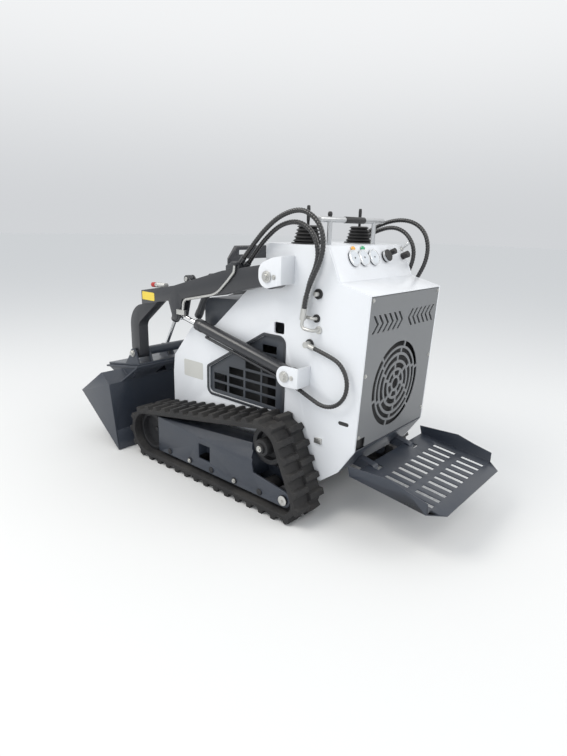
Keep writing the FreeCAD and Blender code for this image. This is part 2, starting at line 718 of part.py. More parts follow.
# Hoses over the boom pivot, from the side plate to the arm, for each side; y counts from the middle
ARCHES = {
    "left": (
        ((-400, 338, 900), (-408, 338, 960), (-438, 339, 1025), (-471, 340, 1085), (-486, 341, 1150),
         (-474, 342, 1210), (-436, 343, 1255), (-368, 343, 1282), (-271, 343, 1258), (-190, 343, 1204),
         (-122, 343, 1140), (-66, 343, 1080)),
        ((-392, 316, 945), (-403, 316, 1000), (-430, 316, 1056), (-444, 317, 1110), (-432, 317, 1167),
         (-394, 317, 1212), (-330, 317, 1237), (-246, 317, 1220), (-172, 317, 1168), (-116, 317, 1112),
         (-70, 317, 1058)),
    ),
    "right": (
        ((-500, 338, 880), (-514, 338, 945), (-546, 339, 1008), (-574, 340, 1070), (-580, 341, 1140),
         (-556, 342, 1204), (-500, 343, 1246), (-420, 343, 1258), (-330, 343, 1238), (-240, 343, 1192),
         (-150, 343, 1136), (-66, 343, 1074)),
        ((-470, 316, 925), (-484, 316, 985), (-512, 316, 1042), (-524, 317, 1102), (-510, 317, 1155),
         (-466, 317, 1204), (-398, 317, 1224), (-318, 317, 1204), (-240, 317, 1164), (-160, 317, 1118),
         (-72, 317, 1060)),
    ),
}
# The hose from the side plate to the lift cylinder's base
HOSE_LOOP = ((-446, 318, 738), (-511, 320, 724), (-579, 324, 703), (-620, 327, 647), (-618, 328, 577),
             (-575, 328, 523), (-508, 328, 505), (-436, 330, 532), (-372, 332, 559), (-310.1, 333, 575.0))


def make_hoses():
    """Guarded hoses over the boom pivots and to the lift cylinders."""
    rad = mm("hose_rad")
    arches = []
    for side, mirror in (("left", 1), ("right", -1)):
        for route in ARCHES[side]:
            arches.append(flip(cord(route, rad), mirror))
        loop = flip(cord(HOSE_LOOP, rad - 1), mirror)
        keep("lift_hose_" + side, shaped("lift_hose_" + side, loop))
    keep("boom_hoses", shaped("boom_hoses", Part.makeCompound(arches)))


def hose_foot(start, towards):
    """A crimp below a hose's end and a bent pipe to a flange on the side plate."""
    head = Vector(*start)
    way = (head - Vector(*towards)).normalize()
    crimp_end = head + way * 48
    piece = stub(head + way * 0.3, crimp_end, mm("hose_rad + 2.5"))
    low = crimp_end + way * 34
    turn_spot = Vector(low.x - 52, low.y - 2, low.z - 6)
    wall = mm("side_out")
    foot = Vector(turn_spot.x - 6, wall + 3, turn_spot.z)
    spots = [tuple(spot) for spot in (crimp_end - way * 5, low, turn_spot, foot)]
    piece = piece.fuse(cord(spots, mm("line_rad")))
    return piece.fuse(rod_y(foot.x, foot.z, wall, wall + 6, 16)).removeSplitter()


def make_side_fittings():
    """What the hoses start from on the side plates, the plugs and the small latch."""
    wall = mm("side_out")
    pieces = []
    for side, mirror in (("left", 1), ("right", -1)):
        parts = [hose_foot(route[0], route[1]) for route in ARCHES[side]]
        parts.append(rod_y(-438, 958, wall, wall + 26, 9).fuse(rod_y(-438, 958, wall, wall + 5, 20)))
        port = stub((-445.4, 318, 738), (-404, 317, 748), 11)
        port = port.fuse(rod_y(-404, 748, wall, 330, 13)).fuse(rod_y(-404, 748, wall, wall + 5, 20))
        parts.append(port)
        parts.append(block_shape(-490, wall, 325, 36, 9, 24))
        pieces += [flip(part, mirror) for part in parts]
    keep("side_fittings", shaped("side_fittings", Part.makeCompound(pieces)))


def arm_top(x):
    """The arm's top edge at a place along it."""
    px, pz = mm("boom_pin_x"), mm("boom_pin_z")
    knots = [tangent((mm("arm_mid_x"), mm("arm_mid_top")), (px, pz), mm("arm_end_rad"), 1)]
    knots += [(mm(f"arm_{n}_x"), mm(f"arm_{n}_top")) for n in ("mid", "seam", "front")]
    for (ax, az), (bx, bz) in zip(knots, knots[1:]):
        if x <= bx:
            break
    return az + (bz - az) * (x - ax) / (bx - ax)


def make_hose_blocks():
    """Blocks on the arms where the arch hoses end, with crimps and the start of the side line."""
    blocks = []
    for side, mirror in (("left", 1), ("right", -1)):
        outline = [(-52, arm_top(-52)), (30, arm_top(30)), (30, 1040), (-12, 1060), (-40, 1060), (-52, 1048)]
        block_all = prism(outline, 304, 362)
        block_all = block_all.fuse(block_shape(-50, 355, 1046, 30, 24, 14))
        for route in ARCHES[side]:
            head = Vector(*route[-1])
            way = (head - Vector(*route[-2])).normalize()
            block_all = block_all.fuse(stub(head + way * 0.3, head + way * 48, mm("hose_rad + 2.5")))
        below = [(-200, arm_top(-200)), (-200, 900), (53, 900), (53, arm_top(53))]
        block_all = block_all.cut(prism(below, 300, 370))
        blocks.append(flip(block_all.removeSplitter(), mirror))
    keep("hose_blocks", shaped("hose_blocks", Part.makeCompound(blocks)))


def make_boom_lines():
    """The bent steel line on each arm's outer face and its fitting at the lift rod's bracket."""
    outer = mm("arm_in + arm_wide + line_rad") + 0.5
    lines = []
    for mirror in (1, -1):
        spots = ((-35, 1045.4), (-32, 1016), (12, 972), (84, 908), (316, 858), (322, 806))
        line = cord([(x, outer, z) for x, z in spots], mm("line_rad - 1"))
        line = line.fuse(block_shape(306, outer - 7.5, 784, 58, 15, 24))
        lines.append(flip(line, mirror))
    keep("boom_lines", shaped("boom_lines", Part.makeCompound(lines)))


def make_couplers():
    """Two quick couplers with dust caps on the left arm's front."""
    couplers, caps = [], []
    for y, x in ((321, 520), (347, 500)):
        level = arm_top(x + 60) + 16
        foot = prism([(x, arm_top(x)), (x + 30, arm_top(x + 30)), (x + 30, level), (x, level)], y - 9, y + 9)
        body = stub((x - 14, y, level + 5), (x + 62, y, level + 1), 11)
        collar = stub((x + 34, y, level + 2.5), (x + 56, y, level + 1.3), 13)
        below = [(x - 60, arm_top(x - 60)), (x - 60, 800), (x + 90, 800), (x + 90, arm_top(x + 90))]
        cover = prism(below, 290, 370)
        couplers.append(foot.fuse(body).fuse(collar).cut(cover))
        caps.append(stub((x + 62.3, y, level + 1), (x + 88, y, level - 0.4), 12.5))
    keep("couplers", shaped("couplers", Part.makeCompound(couplers)))
    keep("coupler_caps", shaped("coupler_caps", Part.makeCompound(caps)))


def make_boom_hoop():
    """The arched plate between the arms, with two oblong holes."""
    half = mm("arm_in")
    foot = mm("hoop_foot")
    top = mm("hoop_top")
    right = [(half, foot), (half, top - 56), (half - 44, top)]
    inside = [(half - 50, foot + 40), (half - 90, top - 60)]
    outline = [(-y, z) for y, z in right] + right[::-1] + inside + [(-y, z) for y, z in inside[::-1]]
    ring = [Vector(mm("hoop_x"), y, z) for y, z in outline]
    hoop = Part.Face(Part.makePolygon(ring + [ring[0]])).extrude(Vector(mm("lug_thick"), 0, 0))
    for y in (175, -235):
        hoop = hoop.cut(block_shape(mm("hoop_x") - 5, y, top - 40, 20, 60, 20))
    keep("boom_hoop", shaped("boom_hoop", hoop))


def make_port_trims():
    """Flat rings round the side openings, on the plates' outer faces."""
    points = [(mm(px), mm(pz)) for px, pz in PORT]
    rounds = (mm("port_round"), 8, 8, mm("port_round"), mm("port_round"))
    inner = rounded([(px, pz, rad) for (px, pz), rad in zip(points, rounds)])
    outer = inner.makeOffset2D(mm("trim_wide"))
    ring = Part.makeFace([outer, inner], "Part::FaceMakerBullseye")
    pieces = []
    for low in (mm("side_out"), mm("-side_out - trim_thick")):
        piece = ring.extrude(Vector(0, mm("trim_thick"), 0))
        piece.translate(Vector(0, low, 0))
        pieces.append(piece)
    keep("port_trims", shaped("port_trims", Part.makeCompound(pieces)))


# Slots of a side grille: rear and front end of each column
GRILLE_COLUMNS = ((-213, -128), (-118, -21), (-8, 90), (104, 195))


def make_grilles():
    """Plates just inside the side openings, with four columns of slots."""
    edge = 15
    rear, front = mm("port_rear_x") - edge, mm("port_front_x") + edge
    low, high = mm("port_low_z") - edge, mm("port_top_z") + edge
    outline = [(rear, low), (front, low), (front, mm("port_front_z") + edge * 0.8),
               (mm("port_top_x") + edge * 0.4, high), (rear, high)]
    slope = (mm("port_top_z") - mm("port_front_z")) / (mm("port_top_x") - mm("port_front_x"))
    holes = []
    for back, front in GRILLE_COLUMNS:
        for row in range(7):
            low = mm("port_low_z") + 18 + 49 * row
            ceiling = min(mm("port_top_z"), mm("port_front_z") + slope * (front - mm("port_front_x"))) - 14
            if low + 36 < ceiling:
                holes.append([(back, low), (front, low), (front, low + 36), (back, low + 36)])
    inner = mm("side_out - side_thick - fit_gap")
    pieces = []
    for y in (inner - 4, -inner):
        pieces.append(slab([outline] + holes, y, y + 4))
    keep("side_grilles", shaped("side_grilles", Part.makeCompound(pieces)))


def make_ears():
    """Brackets outside the arms: a plate with a hole and a web to the side plate."""
    y_plate = mm("arm_in + arm_wide + ear_gap")
    thick = mm("ear_thick")
    side = mm("side_out")
    web = mm("ear_web_x")
    px, pz = mm("boom_pin_x"), mm("boom_pin_z")
    rad = mm("ear_rad")
    upper = rounded([(web - 10, mm("ear_low_z")), (px, pz - rad), (px + rad, pz - rad, rad),
                     (px + rad, pz + rad, rad), (px - 28, mm("ear_top_z") - 8, 20), (web - 10, mm("ear_top_z"))])
    low = mm("base_ear_rad")
    bx, bz = mm("base_pin_x"), mm("base_pin_z")
    back = mm("base_web_x")
    lower = rounded([(back - 10, bz - 41), (bx, bz - low), (bx + low, bz - low, low),
                     (bx + low, bz + low, low), (bx, bz + low), (back - 10, bz + 44)])
    pieces = []
    for mirror in (1, -1):
        for outline, x, z_low, z_high, cx, cz in ((upper, web, mm("ear_low_z"), mm("ear_top_z"), px, pz),
                                                  (lower, back, bz - 41, bz + 44, bx, bz)):
            piece = solid(outline, y_plate, y_plate + thick)
            web_plate = [(x - 10, z_low), (x, z_low), (x, z_high), (x - 10, z_high)]
            piece = piece.fuse(prism(web_plate, side, y_plate + 1))
            piece = piece.cut(rod_y(cx, cz, y_plate - 5, y_plate + thick + 5, mm("pin_rad + pin_gap")))
            pieces.append(flip(piece, mirror))
    keep("ear_brackets", shaped("ear_brackets", Part.makeCompound(pieces)))


def make_chassis_pins():
    start = mm("side_out")
    end = mm("arm_in + arm_wide + ear_gap + ear_thick")
    pieces = []
    for mirror in (1, -1):
        for px, pz in (("boom_pin_x", "boom_pin_z"), ("base_pin_x", "base_pin_z")):
            pin = rod_y(mm(px), mm(pz), start, end + 8, mm("pin_rad"))
            head = rod_y(mm(px), mm(pz), end, end + 6, mm("pin_rad") + 6)
            pieces.append(flip(pin.fuse(head).removeSplitter(), mirror))
    keep("chassis_pins", shaped("chassis_pins", Part.makeCompound(pieces)))


# Track path: centre x, centre z and radius of the wheels, clockwise from the sprocket
def track_wheels(grow):
    base = mm("belt_thick + lug_tall + wheel_gap")
    return [(mm("sprocket_x"), mm("sprocket_z"), mm("sprocket_rad") + grow),
            (mm("front_idler_x"), mm("front_idler_rad") + base, mm("front_idler_rad") + grow),
            (mm("rear_idler_x"), mm("rear_idler_rad") + base, mm("rear_idler_rad") + grow)]


def track_path(grow):
    """Straight runs and arcs round the wheels: (kind, data, length)."""
    wheels = track_wheels(grow)
    normals = []
    for (ax, az, ar), (bx, bz, br) in zip(wheels, wheels[1:] + wheels[:1]):
        span = math.dist((ax, az), (bx, bz))
        way = math.atan2(bz - az, bx - ax)
        normals.append(way + math.acos((ar - br) / span))
    pieces = []
    for i, (cx, cz, rad) in enumerate(wheels):
        start = normals[i - 1]
        turn = (start - normals[i]) % (2 * math.pi)
        pieces.append(("arc", (cx, cz, rad, start, turn), rad * turn))
        nx, nz, nrad = wheels[(i + 1) % len(wheels)]
        first = (cx + rad * math.cos(normals[i]), cz + rad * math.sin(normals[i]))
        last = (nx + nrad * math.cos(normals[i]), nz + nrad * math.sin(normals[i]))
        pieces.append(("line", (first, last, normals[i]), math.dist(first, last)))
    return pieces


def track_spot(pieces, s, lift):
    """The point at length s along the path, raised outwards by lift."""
    s = s % sum(p[2] for p in pieces)
    for kind, data, long in pieces:
        if s <= long:
            break
        s -= long
    if kind == "arc":
        cx, cz, rad, start, turn = data
        angle = start - s / rad
        return (cx + (rad + lift) * math.cos(angle), cz + (rad + lift) * math.sin(angle))
    first, last, normal = data
    t = s / long
    return (first[0] + (last[0] - first[0]) * t + lift * math.cos(normal),
            first[1] + (last[1] - first[1]) * t + lift * math.sin(normal))


def track_inner():
    """The face inside the belt."""
    edges = []
    for kind, data, long in track_path(mm("wheel_gap")):
        if kind == "arc":
            cx, cz, rad, start, turn = data
            ends = [Vector(cx + rad * math.cos(start - turn * t), 0, cz + rad * math.sin(start - turn * t))
                    for t in (0, 0.5, 1)]
            edges.append(Part.Arc(*ends).toShape())
        else:
            first, last = data[:2]
            edges.append(Part.makeLine(Vector(first[0], 0, first[1]), Vector(last[0], 0, last[1])))
    return Part.Face(Part.Wire(edges))


def make_tracks():
    path = track_path(mm("wheel_gap + belt_thick"))
    total = sum(p[2] for p in path)
    count = round(total / mm("lug_pitch"))
    pitch = total / count
    foot = mm("lug_base") / 2
    tip = mm("lug_tip") / 2
    tall = mm("lug_tall")
    halves = []
    for phase, y_low in ((0, 0), (pitch / 2, mm("-track_wide / 2"))):
        points = []
        for k in range(count):
            s = pitch * k + phase
            points += [track_spot(path, s - foot, 0), track_spot(path, s - tip, tall),
                       track_spot(path, s + tip, tall), track_spot(path, s + foot, 0)]
        ring = prism(points, y_low, y_low + mm("track_wide / 2"))
        halves.append(ring)
    band = halves[0].fuse(halves[1])
    hole = track_inner()
    hole.translate(Vector(0, mm("-track_wide"), 0))
    band = band.cut(hole.extrude(Vector(0, mm("2 * track_wide"), 0)))
    for side, mirror in (("left", 1), ("right", -1)):
        shape = band.copy()
        shape.translate(Vector(0, mm("track_mid_y"), 0))
        keep("track_" + side, shaped("track_" + side, flip(shape, mirror)))


def make_track_frames():
    """A box beam with skirts, a rear arm for the idler and a folded upper facet."""
    mid = mm("track_mid_y")
    half = mm("frame_half")
    wall = mm("frame_plate")
    wheels = track_wheels(0)
    fx, fz = wheels[1][:2]
    rx, rz = wheels[2][:2]
    front, back = mm("frame_front_x"), mm("frame_back_x")
    top_f, top_b = mm("frame_front_z"), mm("frame_back_z")
    low = mm("frame_low_z")
    rad = mm("frame_arm_rad")
    stop = fx - mm("front_idler_rad") - 6
    core_top = top_f + (top_b - top_f) * (front - stop) / (front - back)
    core_low = mm("frame_core_z")
    core = prism([(back - 12, core_low), (stop, core_low), (stop, core_top), (back, top_b)], mid - half, mid + half)
    skirt = rounded([(back - 15, low), (front, low), (front, top_f), (back, top_b),
                     (back - 25, mm("frame_arm_z")), (rx - rad, rz + rad, rad), (rx - rad, rz - rad, rad),
                     (rx, rz - rad)])
    fork = rounded([(front - 60, fz - 36), (fx + 36, fz - 36, 36), (fx + 36, fz + 36, 36),
                    (front - 60, fz + 36)])
    body = core.fuse(solid(skirt, mid - half, mid - half + wall))
    body = body.fuse(solid(skirt, mid + half - wall, mid + half))
    body = body.fuse(solid(fork, mid - half, mid - half + wall))
    deep = mm("frame_fold_deep")
    fold = mm("frame_fold_z")
    start = Vector(front - 10, mid + half, top_f)
    ahead = Vector(back, mid + half, fold) - start
    across = Vector(back, mid + half - deep, top_b) - start
    body = body.cut(half_space(start, ahead.cross(across)))
    body = body.cut(block_shape(105, mid + half - wall - 1, 185, 40, 30, 42))
    sx, sz, srad = wheels[0]
    body = body.cut(rod_y(sx, sz, mid - 40, mid + 40, srad + 6))
    for cx, cz in [(fx, fz), (rx, rz)] + [(x, roller_z()) for x in roller_xs()]:
        body = body.cut(rod_y(cx, cz, mid - half - 1, mid + half + 1, mm("axle_rad") + 0.3))
    for side, mirror in (("left", 1), ("right", -1)):
        keep("track_frame_" + side, shaped("track_frame_" + side, flip(body.removeSplitter(), mirror)))


def roller_xs():
    return [mm("roller_first_x") + mm("roller_pitch") * k for k in range(5)]


def roller_z():
    return mm("wheel_gap + belt_thick + lug_tall + roller_rad")


def make_wheels():
    mid = mm("track_mid_y")
    half = mm("frame_half")
    wide = mm("wheel_wide") / 2
    rad = mm("axle_rad")
    wheels = track_wheels(0)
    sprockets, motors, idlers, rollers = [], [], [], []
    for mirror in (1, -1):
        sx, sz, srad = wheels[0]
        near = mid - mm("sprocket_wide") / 2
        disc = rod_y(sx, sz, near, near + mm("sprocket_wide"), srad)
        dish = rod_y(sx, sz, near + 30, near + 70, srad - 22)
        hub = rod_y(sx, sz, near + 10, near + 55, 34)
        sprockets.append(flip(disc.cut(dish).fuse(hub), mirror))
        motors.append(flip(rod_y(sx, sz, mm("side_out"), near - 0.3, mm("motor_rad")), mirror))
        for cx, cz, crad in wheels[1:]:
            wheel = rod_y(cx, cz, mid - wide, mid + wide, crad)
            if cx > 0:
                wheel = wheel.cut(rod_y(cx, cz, mid + wide - 34, mid + wide + 5, crad - 20))
            out = half if cx < 0 else wide - 30
            wheel = wheel.fuse(rod_y(cx, cz, mid - half, mid + out + 5, rad))
            if cx < 0:
                wheel = wheel.fuse(rod_y(cx, cz, mid + half + 0.3, mid + half + 8, 22))
            idlers.append(flip(wheel, mirror))
        for cx in roller_xs():
            roller = rod_y(cx, roller_z(), mid - wide, mid + wide, mm("roller_rad"))
            roller = roller.fuse(rod_y(cx, roller_z(), mid - half, mid + half + 4, rad))
            rollers.append(flip(roller, mirror))
    for label, pieces in (("sprockets", sprockets), ("drive_motors", motors), ("idlers", idlers),
                          ("rollers", rollers)):
        keep(label, shaped(label, Part.makeCompound(pieces)))


def make_beams():
    """Stubs of the cross beams between the side plates and the track frames."""
    start = mm("side_out")
    end = mm("track_mid_y - frame_half")
    pieces = []
    for mirror in (1, -1):
        for x in (-160, 250):
            pieces.append(flip(block_shape(x, start, 160, 60, end - start, mm("beam_tall")), mirror))
    keep("undercarriage_beams", shaped("undercarriage_beams", Part.makeCompound(pieces)))


def make_boom_arms():
    px, pz = mm("boom_pin_x"), mm("boom_pin_z")
    rad = mm("arm_end_rad")
    top = tangent((mm("arm_mid_x"), mm("arm_mid_top")), (px, pz), rad, 1)
    low = tangent((mm("arm_tail_x"), mm("arm_tail_z")), (px, pz), rad, -1)
    back = (px - rad, pz)
    spots = [(mm("arm_front_x"), mm("arm_front_top")), (mm("arm_seam_x"), mm("arm_seam_top")),
             (mm("arm_mid_x"), mm("arm_mid_top")), top, (low, back),
             (mm("arm_tail_x"), mm("arm_tail_z")), (mm("arm_under_x"), mm("arm_under_z")),
             (mm("arm_seam_x"), mm("arm_seam_low")), (mm("arm_front_x"), mm("arm_front_low"))]
    y_low = mm("arm_in")
    y_high = mm("arm_in + arm_wide")
    bx, bz = mm("lift_pin_x"), mm("lift_pin_z")
    rim = 30
    bracket = rounded([(bx - 55, bz + 90), (bx - rim, bz), (bx - rim, bz - rim, rim),
                       (bx + rim, bz - rim, rim), (bx + rim, bz), (bx + 60, bz + 80)])
    thick = mm("lug_thick")
    arm = solid(arc_wire(spots), y_low, y_high)
    arm = arm.fuse(solid(bracket, y_low, y_low + thick)).fuse(solid(bracket, y_high - thick, y_high))
    arm = arm.fuse(rod_y(bx, bz, y_high - 1, y_high + 6, 22))
    arm = arm.cut(rod_y(px, pz, y_low - 1, y_high + 1, mm("pin_rad + pin_gap"))).removeSplitter()
    for side, mirror in (("left", 1), ("right", -1)):
        keep("boom_arm_" + side, shaped("boom_arm_" + side, flip(arm, mirror)))


def arm_under(x):
    """The arm's underside at a place before the seam."""
    slope = (mm("arm_front_low") - mm("arm_seam_low")) / (mm("arm_front_x") - mm("arm_seam_x"))
    return mm("arm_front_low") + slope * (x - mm("arm_front_x"))


def make_drop_arms():
    front = mm("drop_front_x")
    back = front - mm("drop_deep")
    px, pz = mm("hinge_x"), mm("hinge_z")
    rad = mm("hinge_eye_rad")
    low = mm("drop_low_z")
    start = mm("gusset_x")
    outline = rounded([(start, arm_under(start)), (front, arm_under(front), mm("elbow_rad + drop_deep")),
                       (front, low), (px + rad, pz - rad, rad), (px - rad, pz - rad, rad), (back, low),
                       (back, 690, mm("elbow_rad"))])
    arm = solid(outline, mm("arm_in"), mm("arm_in + arm_wide"))
    arm = arm.cut(rod_y(px, pz, 0, 500, mm("hinge_pin_rad + pin_gap")))
    keep("drop_arms", shaped("drop_arms", Part.makeCompound([flip(arm, 1), flip(arm, -1)])))


def make_cross_tube():
    """The tube between the arms, with the lugs of the tilt cylinders."""
    half = mm("arm_in")
    cx, cz = mm("cross_x"), mm("cross_z")
    tx, tz = mm("tilt_base_x"), mm("tilt_base_z")
    tube = rod_y(cx, cz, -half, half, mm("cross_rad"))
    thick = mm("lug_thick")
    gap = mm("tilt_eye_wide") / 2 + 3
    pins = []
    for side in (1, -1):
        y = side * mm("tilt_y")
        for inner in (y - gap - thick, y + gap):
            lug = hull_plate((cx, cz, 26), (tx, tz, mm("tilt_eye_rad")), inner, inner + thick)
            tube = tube.fuse(lug)
        tube = tube.cut(rod_y(tx, tz, y - 40, y + 40, mm("tilt_bore")))
        pins.append(rod_y(tx, tz, y - gap - thick - 4, y + gap + thick + 4, mm("hinge_pin_rad")))
    keep("cross_tube", shaped("cross_tube", tube.removeSplitter()))
    keep("tilt_base_pins", shaped("tilt_base_pins", Part.makeCompound(pins)))


def tilt_pin():
    """The tilt rod pin with the bucket dumped."""
    turn = math.radians(mm("dump_turn"))
    off, up = mm("tilt_off"), mm("tilt_up")
    return (mm("hinge_x") + off * math.cos(turn) + up * math.sin(turn),
            mm("hinge_z") - off * math.sin(turn) + up * math.cos(turn))


def make_cylinders():
    """Barrels and rods of the four cylinders, drawn along X and turned to their pins."""
    tilt = tilt_pin()
    jobs = (
        ("lift", mm("arm_in + arm_wide / 2"), (mm("base_pin_x"), mm("base_pin_z")),
         (mm("lift_pin_x"), mm("lift_pin_z")), mm("lift_eye_wide")),
        ("tilt", mm("tilt_y"), (mm("tilt_base_x"), mm("tilt_base_z")), tilt, mm("tilt_eye_wide")),
    )
    for kind, y, base, tip, wide in jobs:
        turn = math.degrees(math.atan2(tip[1] - base[1], tip[0] - base[0]))
        long = math.dist(base, tip)
        for side, mirror in (("left", 1), ("right", -1)):
            spot = Placement(Vector(base[0], mirror * y, base[1]), Rotation(Vector(0, -1, 0), turn))
            both = (("barrel", barrel(kind, side, mirror, wide)), ("rod", rod(kind, side, wide, long)))
            for part_of, item in both:
                item.Placement = spot
                keep(f"{kind}_{part_of}_{side}", item)


def barrel(kind, side, mirror, wide):
    tag = f"{kind}_barrel_{side}"
    size = kind + "_barrel_"
    eye_wide = wide if kind == "tilt" else wide + 20
    tube = bar_x(tag + "_tube", size + "start", f"{size}long - {size}start", size + "rad")
    eye = bar_y(tag + "_eye", 0, 0, -eye_wide / 2, eye_wide, kind + "_eye_rad")
    gland = bar_x(tag + "_gland", size + "long - gland_long", "gland_long - 6", size + "rad + 2")
    neck = bar_x(tag + "_neck", 5, size + "start", size + "neck")
    items = [tube, eye, gland, neck]
    if kind == "lift":
        items += lift_line(tag, mirror)
    hollow = f"{size}long - gland_long - {size}start - 25"
    bore = bar_x(tag + "_bore", size + "start + 25", hollow, size + "rad - 6")
    mouth = size + "long - gland_long - 1"
    guide = bar_x(tag + "_guide", mouth, "gland_long + 2", kind + "_rod_rad + rod_gap")
    hole = bar_y(tag + "_hole", 0, 0, -eye_wide / 2 - 6, eye_wide + 12, kind + "_bore")
    return cut(tag, fuse(tag + "_solid", items), fuse(tag + "_holes", [bore, guide, hole]))


def lift_line(tag, mirror):
    """The steel line below a lift barrel, its two ports and the crimp of its hose."""
    line = bar_x(tag + "_line", 66, 480, "line_rad")
    crimp = bar_x(tag + "_crimp", 24, 44, "hose_rad + 2")
    items = [line, crimp]
    for item in items:
        bind(item, "Placement.Base.z", "-lift_barrel_rad - 14")
    for k, x in enumerate((66, 534)):
        port = bar_z(f"{tag}_port{k}", x, 0, "-lift_barrel_rad - 14", "lift_barrel_rad + 4", 9)
        items.append(port)
    return items


def rod(kind, side, wide, long):
    tag = f"{kind}_rod_{side}"
    bar = bar_x(tag + "_bar", kind + "_tail", f"{long} - {kind}_tail", kind + "_rod_rad")
    eye = bar_y(tag + "_eye", long, 0, -wide / 2, wide, kind + "_eye_rad")
    return fuse(tag, [bar, eye])


def hitch_place(shape):
    """Turns a shape drawn from the pivot, bucket level, to the dumped bucket."""
    shape = shape.copy()
    shape.rotate(Vector(0, 0, 0), Vector(0, 1, 0), mm("dump_turn"))
    shape.translate(Vector(mm("hinge_x"), 0, mm("hinge_z")))
    return shape


def make_hitch():
    """Attachment plate, cross tube, ears and the lugs of the tilt rods."""
    off = mm("hitch_off")
    thick = mm("hitch_thick")
    half = mm("hitch_half")
    frame = prism([(off, mm("hitch_low")), (off + thick, mm("hitch_low")), (off + thick, mm("hitch_top")),
                   (off, mm("hitch_top"))], -half, half)
    inner = mm("arm_in - hinge_gap")
    outer = mm("arm_in + arm_wide + hinge_gap")
    eye = 26
    frame = frame.fuse(rod_y(0, 0, -inner + 6, inner - 6, mm("hinge_tube_rad")))
    ear = rounded([(-eye, -eye, eye), (0, -eye), (off + 1, -38), (off + 1, 90), (0, eye), (-eye, eye, eye)])
    for y in (inner - 12, outer):
        for low in (y, -y - 12):
            frame = frame.fuse(solid(ear, low, low + 12))
    off_pin, up = mm("tilt_off"), mm("tilt_up")
    gap = mm("tilt_eye_wide") / 2 + 3
    lug_rad = mm("tilt_eye_rad")
    lug = rounded([(off_pin - lug_rad, up - lug_rad, lug_rad), (off_pin, up - lug_rad), (off + 1, up - 45),
                   (off + 1, up + 45), (off_pin, up + lug_rad), (off_pin - lug_rad, up + lug_rad, lug_rad)])
    for side in (1, -1):
        y = side * mm("tilt_y")
        for low in (y - gap - mm("lug_thick"), y + gap):
            frame = frame.fuse(solid(lug, low, low + mm("lug_thick")))
        for low in (y - gap - mm("lug_thick") - 5, y + gap + mm("lug_thick") - 1):
            frame = frame.fuse(rod_y(off_pin, up, low, low + 6, 14))
    frame = frame.cut(rod_y(0, 0, -500, -inner + 13, mm("hinge_pin_rad + pin_gap")))
    frame = frame.cut(rod_y(0, 0, inner - 13, 500, mm("hinge_pin_rad + pin_gap")))
    keep("hitch_frame", shaped("hitch_frame", hitch_place(frame.removeSplitter())))
    pins = []
    for mirror in (1, -1):
        pin = rod_y(0, 0, inner - 12.5, outer + 18, mm("hinge_pin_rad"))
        pins.append(flip(pin.fuse(rod_y(0, 0, outer + 12.3, outer + 17, 19)), mirror))
    keep("hitch_pins", shaped("hitch_pins", hitch_place(Part.makeCompound(pins))))


def bucket_path():
    return [(mm(f"bucket_{n}_x"), mm(f"bucket_{n}_z")) for n in ("edge", "heel", "knee", "lip")]


def make_bucket():
    """A dumped bucket: floor, heel, back and end plates, with its receiver."""
    path = bucket_path()
    edge, heel = path[:2]
    long = math.dist(edge, heel)
    t = mm("edge_long") / long
    floor_start = (edge[0] + (heel[0] - edge[0]) * t, edge[1] + (heel[1] - edge[1]) * t)
    plate_thick = mm("bucket_plate")
    half = mm("bucket_half")
    shell = prism(offset_strip([floor_start] + path[1:], plate_thick), -half, half)
    for low in (-half, half - plate_thick):
        shell = shell.fuse(prism(path, low, low + plate_thick))
    off = mm("hitch_off + hitch_thick + fit_gap")
    thick = mm("receiver_thick")
    receiver = prism([(off, -45), (off + thick, -45), (off + thick, 262), (off, 262)], -400, 400)
    shell = shell.fuse(hitch_place(receiver))
    rear = (689, 447)
    far = math.dist(heel, rear)
    cheek = panel(heel, rear, [[(-453, -2), (453, -2), (400, far), (-400, far)],
                               [(160, 16), (240, 16), (200, 80)], [(-240, 16), (-160, 16), (-200, 80)]], 8)
    shell = shell.fuse(cheek)
    fin = [(off + 1, -38), (off + 60, 0), (off + 100, 60), (off + 60, 150), (off + 1, 250)]
    for y in (-396, -130, 122, 388):
        rib = hitch_place(prism(fin, y, y + 8))
        shell = shell.fuse(rib.common(prism([(640, 470), heel, path[2], path[3], (1100, 500)], -500, 500)))
    bar = prism(offset_strip([edge, floor_start], mm("edge_thick")), -half + plate_thick + 0.3,
                half - plate_thick - 0.3)
    keep("bucket", shaped("bucket", shell.removeSplitter()))
    keep("cutting_edge", shaped("cutting_edge", bar))


